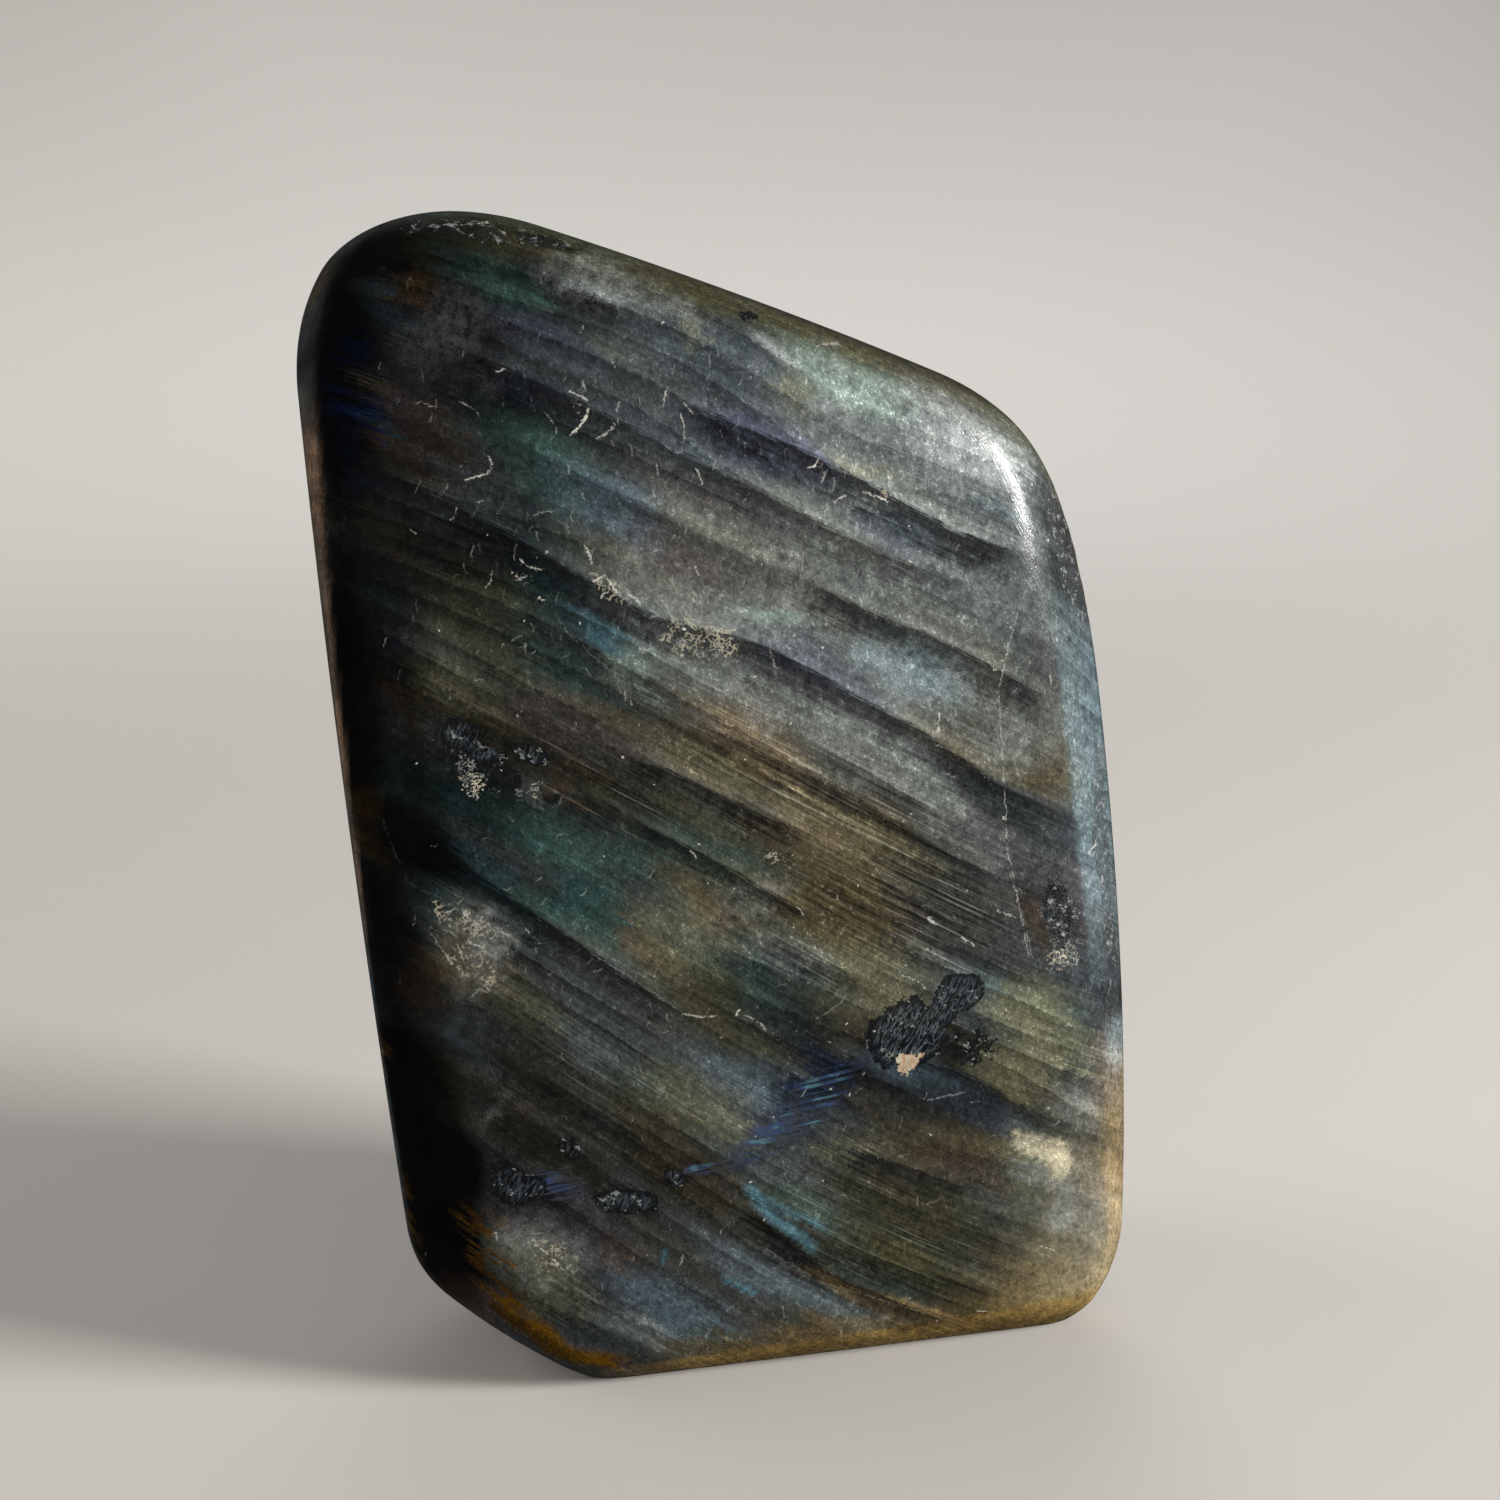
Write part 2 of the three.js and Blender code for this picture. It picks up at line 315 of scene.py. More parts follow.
ZONES = [
    # Coal along the left edge is partly the stone's dark colour and partly painted shade, on the bevels that
    # turn away from the key lamp.
    # colour, strength, x, z, half length, half width, and tilt and edge where they aren't 30 and 0.5
    # the upper left
    ("charcoal", 0.7, -25, 80, 14, 7, 84), ("charcoal", 0.5, -18, 56, 8, 8, 60),
    ("charcoal", 0.4, -14, 24, 14, 8, 40), ("dove", 0.4, 2, 73, 16, 13, 30),
    ("dove", 0.4, 16, 72, 14, 10, 40), ("coal", 1, -35, 93, 14, 4.4, 88, 0.45),
    ("coal", 0.95, -29, 102, 6.5, 1.9, -4, 0.3), ("ochre", 0.7, -27.6, 98.6, 1.5, 2),
    ("sea", 0.6, -21.5, 99.5, 4.5, 2.3, 20), ("mauve", 0.6, -25, 96.6, 2.6, 2.2),
    ("violet", 0.7, -17.5, 94.6, 4.5, 1.5, 26), ("navy", 0.6, -16.5, 94.4, 2.5, 0.8, 26),
    ("sage", 0.4, -12, 93.3, 1.8, 0.9, 10), ("navy", 0.8, -20.3, 91.3, 3.2, 1.2),
    ("mauve", 0.6, -26, 92.4, 4, 2.4), ("royal", 0.35, -32.2, 93.3, 1.3, 1, 60),
    ("olive", 0.8, -31, 91.3, 1.4, 0.7, 20), ("royal", 0.5, -33, 90.1, 0.9, 0.8),
    ("royal", 1, -33.1, 88.2, 1.4, 1, 25), ("sea", 0.5, -32.2, 87.8, 0.9, 0.5),
    ("royal", 0.2, -34.3, 86.3, 1.6, 1, 70), ("navy", 0.8, -33.2, 83, 1.4, 1),
    ("royal", 0.25, -32.4, 80.2, 1.8, 0.8, 10), ("mauve", 0.6, -28, 88, 4, 2.6, 60),
    ("rust", 0.4, -27, 85.5, 3.6, 3.4, 50), ("umber", 0.5, -26, 85, 3.2, 1.6),
    ("sea", 0.6, -19, 85.6, 6, 2.8), ("navy", 0.5, -24.3, 88.5, 2, 0.9), ("olive", 0.5, -31, 79, 2.4, 1.4),
    ("steel", 0.7, -12, 80.8, 4.5, 2.6, 25),
    # the top edge and the pale field under the brow
    ("dove", 0.7, -11, 98.5, 5, 1.6, 20), ("ash", 0.4, -8, 92.5, 5, 2.5, 24),
    ("charcoal", 0.6, -3.6, 98.6, 3.2, 0.6, 22), ("sage", 0.6, -5.2, 95, 1.2, 1.3),
    ("coal", 0.9, 0.3, 95.8, 1.3, 0.7), ("dove", 0.8, 13, 85, 13, 7, 20), ("pearl", 0.7, 2.2, 93.1, 3, 0.6),
    ("mint", 0.8, 9, 90.6, 6.5, 2), ("pearl", 0.35, 8.5, 90.8, 5.5, 1.6, 22),
    ("pearl", 0.5, 18, 86, 6.5, 3, 28), ("sage", 0.6, 3.2, 90.4, 1.5, 1.8),
    ("violet", 0.7, 13.5, 86.8, 0.9, 0.5, 0), ("slate", 0.6, -3, 91.2, 4.5, 1.8, 20),
    ("navy", 0.6, -3.2, 88.4, 3.2, 0.8, 20), ("violet", 0.7, 0.8, 85.6, 7, 2.2, 26),
    ("mauve", 0.6, -4, 82, 6, 1.5, 26), ("mauve", 0.5, -17, 63, 6, 2.4, 31),
    ("violet", 0.6, 12, 78, 4, 1.5, 25), ("mist", 0.5, 12.5, 78.3, 2.5, 0.9, 25),
    ("sage", 0.5, 7.5, 84.1, 5, 0.5, 26),
    # the left edge, from the top down
    ("navy", 0.9, -34.8, 77.2, 1.6, 1), ("ochre", 0.7, -35.4, 75, 1.3, 0.5, 85),
    ("sea", 0.4, -32, 73.6, 2.2, 1), ("umber", 0.6, -28.3, 76, 2.2, 1.2), ("olive", 0.6, -24, 75.2, 3, 0.7),
    ("teal", 0.6, -19.5, 73.5, 3.4, 2.8), ("royal", 0.45, -31, 69.9, 1.4, 0.6),
    ("royal", 0.4, -31, 67.8, 1.3, 0.6, 20), ("ash", 0.7, -27, 69.8, 4.4, 1.3),
    ("sage", 0.5, -28.5, 66.6, 3, 0.8), ("ochre", 0.6, -30.3, 64.6, 1.2, 1.9, 0),
    ("coal", 1, -35, 66, 11, 2.6, 86, 0.3), ("sage", 0.5, -24.8, 66, 3.4, 1.3),
    ("teal", 0.6, -17.5, 68, 5, 1.6), ("sky", 0.9, -13.4, 70.2, 3.4, 1.3),
    ("mint", 0.8, -10.8, 67.5, 2, 1.9, 60), ("dove", 0.6, -20, 57.5, 2, 1, 20),
    ("rust", 0.7, -17.2, 57, 1.2, 0.5, 15), ("sea", 0.6, -18.5, 53.4, 6, 2, 25),
    ("teal", 0.9, -16.2, 47.2, 3.2, 2, 38), ("coal", 1, -30.8, 54, 5.8, 2.4, 40, 0.3),
    ("coal", 0.95, -33, 45, 8, 2.8, 85, 0.3), ("ochre", 0.7, -33.8, 57, 1.5, 1.1, 70),
    ("ochre", 0.6, -34, 54, 1.7, 0.9, 70), ("ochre", 0.4, -32, 51.2, 1.4, 0.5, 40),
    # the middle
    ("mauve", 0.6, -7, 77, 5, 2), ("mint", 0.5, 1, 71.3, 2.7, 0.6, 10),
    ("charcoal", 0.6, -9, 71.7, 1.6, 0.6), ("violet", 0.55, 5.2, 66, 6, 1.8, 32),
    ("slate", 0.3, 6, 66, 7, 2.4, 32), ("mist", 0.6, 13, 66.4, 5.5, 2.1, 27),
    ("dove", 0.3, 11, 73.5, 4.4, 1.4, 25), ("slate", 0.6, 14.8, 74, 1.8, 0.8, 20),
    ("dove", 0.6, -5, 66.5, 5.5, 2.6), ("dove", 0.7, 9, 59.4, 8.5, 2.6, 31),
    ("olive", 0.6, -5.5, 59.2, 8, 1.9, 31), ("sage", 0.5, 1, 57, 9, 2, 31),
    ("olive", 0.6, -6, 54, 4.4, 1.2), ("umber", 0.8, 1, 52, 2.7, 1.3, 10),
    ("dove", 0.5, 13, 56, 6, 1.6, 31), ("sage", 0.6, 9, 51.8, 7, 1.8, 31),
    ("olive", 0.5, 7, 50, 5, 1.6, 31), ("teal", 0.5, -11, 51, 2, 1.8), ("rust", 0.4, -5.5, 46, 2.5, 1.6),
    ("rust", 0.5, -10.4, 42.8, 3, 1.4, 40), ("olive", 0.7, 6.5, 47, 4.4, 2.4),
    ("dove", 0.6, 1.5, 41, 4.2, 1.1), ("moss", 0.7, -5.6, 38.6, 3.6, 1.7),
    ("moss", 0.6, -3, 34.5, 4.5, 1.4), ("charcoal", 0.5, 17, 44, 6.5, 2.4, 31),
    ("ash", 0.6, 18, 50, 6, 2.4, 31),
    # the right bevel and the translucent lower right
    ("steel", 0.5, 21, 80, 2.6, 1, 25), ("sage", 0.5, 24, 86.6, 3, 1), ("slate", 0.7, 28.5, 75, 8, 2.2, 76),
    ("slate", 0.6, 33, 48, 16, 2.6, 88), ("ash", 0.5, 24.4, 65, 6, 2.4, 80),
    ("slate", 0.6, 25, 50, 4.4, 2.6, 70), ("umber", 0.7, 25, 42.6, 2.4, 1.2, 75),
    ("sage", 0.7, 24.2, 35, 4.4, 2.8, 20), ("sage", 0.5, 27.5, 31, 4, 2.8),
    ("charcoal", 0.5, 32.6, 33.6, 2, 1, 60), ("mist", 0.4, 35, 28.5, 2.6, 2, 80),
    ("sage", 0.5, 27, 11, 11, 5, 80), ("sand", 0.5, 33, 9, 13, 5, 88, 0.8), ("ash", 0.35, 30, 11, 4, 5, 0),
    ("sand", 0.3, 36, 12, 13, 2.4, 88), ("ash", 0.4, 31, 17, 3, 8, 0),
    ("bone", 0.65, 26, 20.2, 3, 1.1, 26, 0.15), ("bone", 0.7, 27.6, 18.8, 2.3, 1.2, 80, 0.15),
    ("dove", 0.5, 26.2, 17.4, 2.6, 0.9, 32, 0.2), ("dove", 0.4, 28.6, 13.6, 2.6, 1.2, 100, 0.2),
    ("slate", 0.6, 26, 23.6, 2.8, 1.5), ("dove", 0.5, 30, 23, 3, 2, 60),
    # the lower left
    ("coal", 1, -32.5, 20, 18, 7, 90, 0.12), ("umber", 0.8, -31, 41, 3.4, 2.6, 45),
    ("sage", 0.5, -22, 39.4, 5, 1.8, 40), ("sand", 0.3, -25.8, 43.6, 2.8, 4, 0),
    ("rust", 0.5, -29.5, 42, 1.6, 3.4, 30), ("dove", 0.4, -25.5, 45.6, 3.6, 2.4, 30),
    ("steel", 0.8, -15.4, 34, 5.4, 1.7, 38), ("sea", 0.5, -12, 30.5, 3.4, 1.4, 38),
    ("mauve", 0.6, -20, 29.6, 3.6, 2.2, 38), ("slate", 0.6, -23.6, 34, 4, 1.2, 50),
    ("charcoal", 0.6, -22, 25.4, 3, 2), ("charcoal", 0.8, -17, 24.6, 2.2, 1.2),
    ("coal", 0.7, -22.8, 21.6, 2.2, 1.6), ("sage", 0.5, -7, 28, 5, 2.6),
    ("coal", 0.7, -13.6, 19.4, 3.4, 1.3, 10), ("coal", 0.8, -8.4, 21, 1.6, 1),
    ("sage", 0.5, -21.5, 14.6, 3.4, 2.4), ("slate", 0.6, -18, 9, 4.4, 2),
    ("rust", 0.3, -13.4, 13.4, 1.7, 1.5), ("steel", 0.6, -9, 8.4, 5.4, 2.6, 35),
    ("dove", 0.4, -12, 6, 4, 1.2),
    # the lower middle, with its fan of stripes
    ("navy", 0.95, 6.1, 29.8, 2.5, 1.8, 20), ("charcoal", 0.7, 11, 27, 4.4, 2.2),
    ("charcoal", 0.6, 17.5, 25, 4.6, 2.2), ("sage", 0.6, 6.6, 22.8, 2.4, 0.9, 6),
    ("umber", 0.7, 18.5, 19, 6, 1.8), ("sea", 0.6, 3, 17.4, 4.5, 1.4, 36), ("moss", 0.75, 13, 14.6, 9, 3.4),
    ("moss", 0.8, 15, 9.4, 7.5, 1.6), ("moss", 0.6, 19, 6, 6, 1.4), ("coal", 0.8, 1.2, 14.6, 4.8, 0.8, 43),
    ("steel", 0.6, -1.4, 11, 5, 1.5, 44), ("moss", 0.4, -2, 4.5, 8, 3, 0),
    ("mauve", 0.4, -1, 5.4, 5, 1.8, 38), ("sand", 0.5, 9, 7, 6, 0.7, 27),
    ("charcoal", 0.6, 24, 6.4, 3, 1.4), ("cobalt", 0.8, 3.4, 28.1, 0.7, 0.5, 0),
    ("navy", 0.7, 4.5, 28.5, 5.5, 1.9, -33),
    # the warmth of the lower half; honey along the foot and rust low on the left, which are painted
    # reflection of warm ground, and painted shade: thin coal that darkens the left and parts of the middle
    ("olive", 0.3, 0, 55, 24, 10, 31), ("sand", 0.15, 7, 52.5, 7, 3, 31), ("umber", 0.3, 9, 44, 5, 3, 31),
    ("sage", 0.4, -8, 44, 4, 3.5), ("sage", 0.4, 10, 38, 6, 3.5), ("olive", 0.35, 8, 13, 22, 9, 20),
    ("honey", 0.4, 12, 2.8, 20, 2.6, 0), ("honey", 0.25, 25, 8, 5, 4), ("dove", 0.3, -8, 68, 5, 4),
    ("dove", 0.35, 24, 60, 3, 5, 80), ("rust", 0.5, -28, 8, 4, 4, 40), ("coal", 0.5, -25, 86, 20, 5.5, 86),
    ("sage", 0.3, -24, 71, 5, 5, 40), ("coal", 0.4, -15, 100, 7, 3.5, 20),
    ("coal", 0.65, -25.5, 58, 7, 5, 80), ("coal", 0.85, -32, 62, 20, 3.8, 86),
    ("coal", 0.7, -31.5, 40, 7, 3, 80), ("coal", 0.35, -16, 58, 7, 5, 40),
    ("coal", 0.5, -24, 30, 11, 5.5, 84), ("coal", 0.45, -14, 27, 12, 6, 60), ("coal", 0.5, -8, 37, 5, 4),
    ("coal", 0.2, 4, 22, 16, 9), ("coal", 0.3, 18, 27.5, 5.5, 5), ("coal", 0.35, 19, 31, 4.2, 2.6, 20),
    ("sand", 0.45, -1, 60.5, 6, 2.4, 31), ("sage", 0.5, -20, 11, 4, 3),
    ("olive", 0.35, -14, 36, 14, 12, 35), ("charcoal", 0.4, 7, 73, 5, 2, 27),
    ("mint", 0.35, 9, 90.4, 6, 1.6, 22), ("ash", 0.35, -12, 91, 8, 4, 26),
    ("charcoal", 0.5, 23, 12, 3.5, 5, 20), ("umber", 0.35, 25.4, 62, 9, 1.8, 86),
    ("sage", 0.5, 24, 29, 4, 3), ("ash", 0.35, -24, 82, 4, 4),
]
BANDS = [
    # colour, strength, half width, then the points of the band's middle line
    # The two ochre bands low on the left are painted reflection of warm ground in the lower bevels.
    ("ochre", 0.7, 0.9, (-35.4, 36), (-34.6, 26), (-33.6, 17), (-32, 11), (-29, 6.5)),
    ("ochre", 0.9, 0.9, (-26.4, 20), (-25.5, 14), (-24.5, 10), (-22.3, 7.2), (-19.4, 4.6), (-14, 2.8)),
    ("olive", 0.6, 1.3, (-24, 103), (-14, 101.6), (0, 97.2), (14, 91.8), (24, 88)),
    ("honey", 0.5, 0.6, (2.4, 11.4), (5.4, 9), (12, 6), (18, 3.2)),
    ("sky", 0.5, 0.5, (-1.8, 20.2), (-0.8, 18.2), (0.8, 16), (3.6, 13)),
    ("sky", 0.35, 0.3, (-0.4, 18.9), (2, 16.4), (5, 14.4)),
    ("cyan", 0.4, 0.25, (-4, 10.8), (-2.6, 9.4), (-1.6, 8.6)),
    ("cyan", 0.4, 0.2, (-9.4, 14.4), (-9, 13.4), (-9, 12.6)),
]


def line_distance(line, face=(x, z)):
    """Distance to a line of straight stretches, less than 0 below it, and how near its ends a point is."""
    face_x, face_z = face
    nearest = np.full(len(x), np.inf)
    signed = np.zeros(len(x))
    reach = np.zeros(len(x))
    total = sum(math.dist(a, b) for a, b in zip(line, line[1:]))
    gone = 0
    for (ax, az), (bx, bz) in zip(line, line[1:]):
        length = math.dist((ax, az), (bx, bz))
        walk = ((face_x - ax) * (bx - ax) + (face_z - az) * (bz - az)) / length
        held = np.clip(walk, 0, length)
        away = np.hypot(face_x - ax - held * (bx - ax) / length, face_z - az - held * (bz - az) / length)
        side = np.where((face_z - az) * (bx - ax) - (face_x - ax) * (bz - az) < 0, -1, 1)
        closer = away < nearest
        nearest = np.where(closer, away, nearest)
        signed = np.where(closer, away * side, signed)
        reach = np.where(closer, (gone + walk) / total, reach)
        gone += length
    return signed, smooth(-0.06, 0.12, reach) * (1 - smooth(0.88, 1.06, reach))


def linear(colour):
    """A hex colour on a screen's scale as three linear shares of light."""
    shares = np.array([(colour >> shift) & 255 for shift in (16, 8, 0)]) / 255
    return np.where(shares <= 0.04045, shares / 12.92, ((shares + 0.055) / 1.055) ** 2.4)


def painted(colours, name, weight):
    """Colours with one palette colour laid over them by weight."""
    return colours + weight[:, None] * (linear(PALETTE[name]) - colours)


FRINGE_LENGTH = 5           # how far the fringes of a colour differ in length, in millimetres
FRINGE_WAY = (0.87, -0.5)   # the unit step along the grain, down to the right


def slid_face(seed, way):
    """The front's places slid along the lamellae in ragged streaks, so that colours end in fringes."""
    streaks = np.stack([across / 1.2, along / 14, through / 8], axis=-1)
    slide = FRINGE_LENGTH * (clouds(streaks, seed, 2) - 0.5) + way
    return ragged_face[0] + slide * FRINGE_WAY[0], ragged_face[1] + slide * FRINGE_WAY[1]


FIELDS = {"ash": 0.8, "teal": 0.7, "mauve": 0.5, "olive": 0.8, "charcoal": 0.9, "steel": 0.7}
FLASH = 0.45   # the strength of the deep blue flashes off the front


def grain_fields():
    """Slate with the other colours of the grain laid over it, each where its own clouds are high."""
    colours = np.tile(linear(PALETTE["slate"]), (len(points), 1))
    for number, (name, spread) in enumerate(FIELDS.items()):
        narrow = drawn_out(16, 3.2, 6, SEED + 10 + number)
        wide = drawn_out(30, 11, 14, SEED + 30 + number)
        colours = painted(colours, name, spread * smooth(0.52, 0.72, 0.35 * narrow + 0.65 * wide))
    flash = drawn_out(14, 2.4, 10, SEED + 50) * (1 - front)
    return painted(colours, "royal", FLASH * smooth(0.62, 0.82, flash))


# The edges' colours, each with its share at every point: a dark upper rim, a warm rim over the foot that is
# painted reflection of warm ground, a pale bevel on the right that is painted light, blots of brown on the
# left side that are partly painted reflection, and sand low on the right.
to_right, to_back, upward = normals.T
blots = clouds(points / 7, SEED + 55, 2)
blot_share = smooth(0.3, 0.7, blots)
# The warm rim over the foot is painted reflection of warm ground in the foot's bevel.
foot_rim = (1 - smooth(2.4, 3.0, z - 0.04 * x)) * smooth(-20, -4, x) * smooth(0.0, 0.4, -to_back)
# The pale right bevel is painted light: the facet is made paler where it catches the light.
bevel = smooth(0.38, 0.5, to_right) * (1 - smooth(0.82, 0.92, to_right)) * front
bevel_height = smooth(34, 46, z) * (1 - smooth(64, 74, z))
# The brown blots on the left flank are partly the stone's colour and partly painted reflection of warm
# ground seen at a grazing angle.
flank = smooth(0.8, 0.95, -to_right) * (1 - smooth(-5, 11, y + 10 * (blots - 0.5)))
flank_height = smooth(38, 60, z) * (1 - smooth(84, 94, z))
low_right = smooth(0.3, 0.8, to_right) * (1 - smooth(18, 36, z))
EDGES = [
    ("fern", 0.7 * smooth(0.3, 0.7, upward) * smooth(-32, -20, x)),
    ("honey", 0.85 * foot_rim),
    ("mist", 0.35 * bevel * bevel_height),
    ("taupe", (0.25 + 0.6 * blot_share) * flank * flank_height),
    ("sand", (0.1 + 0.3 * blot_share) * low_right),
]

# Light and dark packets of lamellae, with painted shade over them: the front is darker to its left, where
# the light falls away from it, and in a band under its brow, and the whole stone is a little darker towards
# its top.
packets = drawn_out(34, 2.6, 20, SEED + 70, 3)
under_brow = smooth(4, 14, x) * smooth(56, 64, z) * (1 - smooth(78, 84, z))
# The terms by height and by x are painted shade; the packets below are the stone's own lamellae.
packets_and_painted_shade = 1.3 - 0.12 * smooth(62, 72, z) + front * (0.7 * smooth(-26, -6, x) - 0.5)
packets_and_painted_shade = (packets_and_painted_shade - 0.18 * under_brow) * (0.3 + 1.4 * packets)

STEEP = 60               # a zone tilted more than this crosses the grain, and isn't slid along it
BROAD = 0.75             # a band wider than this each way is slid along the grain
DEPTH_OF_COLOUR = 1.25   # how much deeper the colours are than the palette's, away from grey
LAYER_SLIDE = 0.8        # how far the two layers of colour are slid apart along the grain, each way
fields = grain_fields()


def painted_stone(face):
    """The fields with zones, bands and edges laid over them, deepened away from grey and shaded."""
    colours = fields
    for name, strength, *place in ZONES:
        crosses_grain = len(place) > 4 and abs(place[4]) > STEEP
        zone = patch(*place, face=ragged_face if crosses_grain else face)
        colours = painted(colours, name, strength * zone)
    for name, strength, half_width, *line in BANDS:
        away, body_share = line_distance(line, face if half_width > BROAD else ragged_face)
        band = body_share * (1 - smooth(0.5, 1.4, np.abs(away) / half_width))
        colours = painted(colours, name, front * strength * band)
    for name, share in EDGES:
        colours = painted(colours, name, share)
    greys = colours.mean(axis=1, keepdims=True)
    return np.maximum(greys + DEPTH_OF_COLOUR * (colours - greys), 0) * packets_and_painted_shade[:, None]


body = painted_stone(slid_face(SEED + 60, LAYER_SLIDE))
slid_body = painted_stone(slid_face(SEED + 61, -LAYER_SLIDE))

# The marks in the stone
# Dark partings between lamella packets, pale veins and cracks, stripes, haze, black fibrous
# inclusions, white crystals and cream crumbs. Each is a soft field that the finish sharpens.
PARTINGS = {
    # strength, how far the shadow reaches below it, then the points of the line from left to right
    "odd": [
        (0.7, 1.4, (-16, 98.8), (-11, 97)),
        (0.8, 1.6, (-27, 95.2), (-22, 92.8), (-16, 90), (-10, 87), (-4, 83.8), (3, 80.2), (9, 77), (16, 74)),
        (0.9, 2.2, (-30.5, 84.1), (-22, 79.3), (-14.5, 74.8), (-9.5, 71.8), (0, 69), (8, 64.2), (14, 60.8),
         (22, 55), (28, 52)),
        (0.9, 1.2, (-12, 60), (-8, 58.4), (-4, 56.2), (3.5, 52.3)),
        (0.7, 1.5, (0, 43.6), (4, 41.2), (8.5, 38.3)),
        (0.9, 1.5, (-31, 55.6), (-25, 50.5), (-20, 46.5), (-16, 43.3), (-7.8, 36.9)),
        (0.7, 1.2, (-21, 32.7), (-17, 29.5), (-11, 25)),
        (0.8, 1.6, (7.5, 22.6), (14, 19.5), (19, 17)),
        (0.55, 1.6, (9, 11.5), (14, 9.2), (22, 5.8)),
        (0.8, 0.8, (-19.5, 103.3), (-16, 102.8), (-14.2, 101.8)),
    ],
    "even": [
        (0.5, 1.4, (-22, 87.5), (-15, 83.6), (-8, 80), (-2, 76.8), (4, 74.3)),
        (1.0, 2.4, (-6.4, 89.3), (2, 86), (10.8, 81.6), (17, 78), (24, 75.6)),
        (0.9, 2.0, (3.4, 74.6), (8.9, 71.6), (14, 69.5), (18, 67.5), (26, 63)),
        (0.6, 1.0, (-32, 70.2), (-29, 67.8)),
        (0.8, 1.4, (-7, 63.2), (-2, 60.5), (6, 56), (14, 51.2), (22, 46.4)),
        (0.9, 1.4, (-12, 54.6), (-6, 51.3), (-1, 48), (4, 45)),
        (0.6, 1.2, (-16, 57.3), (-12.4, 55.2)),
        (0.5, 1.2, (-30, 37), (-25.5, 34)),
        (0.85, 1.7, (-2.2, 17.6), (0, 15.6), (5.2, 10.4), (9, 8), (17.8, 3.2)),
    ],
}
VEINS = [
    # strength, then the points of each pale vein or healed crack
    (0.6, (22.9, 70.9), (21, 64), (22, 49.5), (24.3, 39)), (0.5, (22, 48), (23.4, 44), (24.6, 39)),
    (0.14, (-33, 56), (-31, 50), (-28.5, 48.6), (-25, 46), (-22, 45)),
    (0.4, (-29.5, 46), (-27, 45.4), (-24.6, 43.5)), (0.14, (-26, 41.5), (-25.6, 37), (-24.4, 32)),
    (0.4, (-16, 43.2), (-12, 40.2), (-7.8, 36.9)), (0.35, (-0.6, 13.4), (5.2, 9), (12, 6), (18, 3)),
    (0.3, (-17.8, 72.4), (-16.8, 70.6), (-12, 66)), (0.4, (-19.2, 103.4), (-16, 102.8), (-14.5, 102)),
]
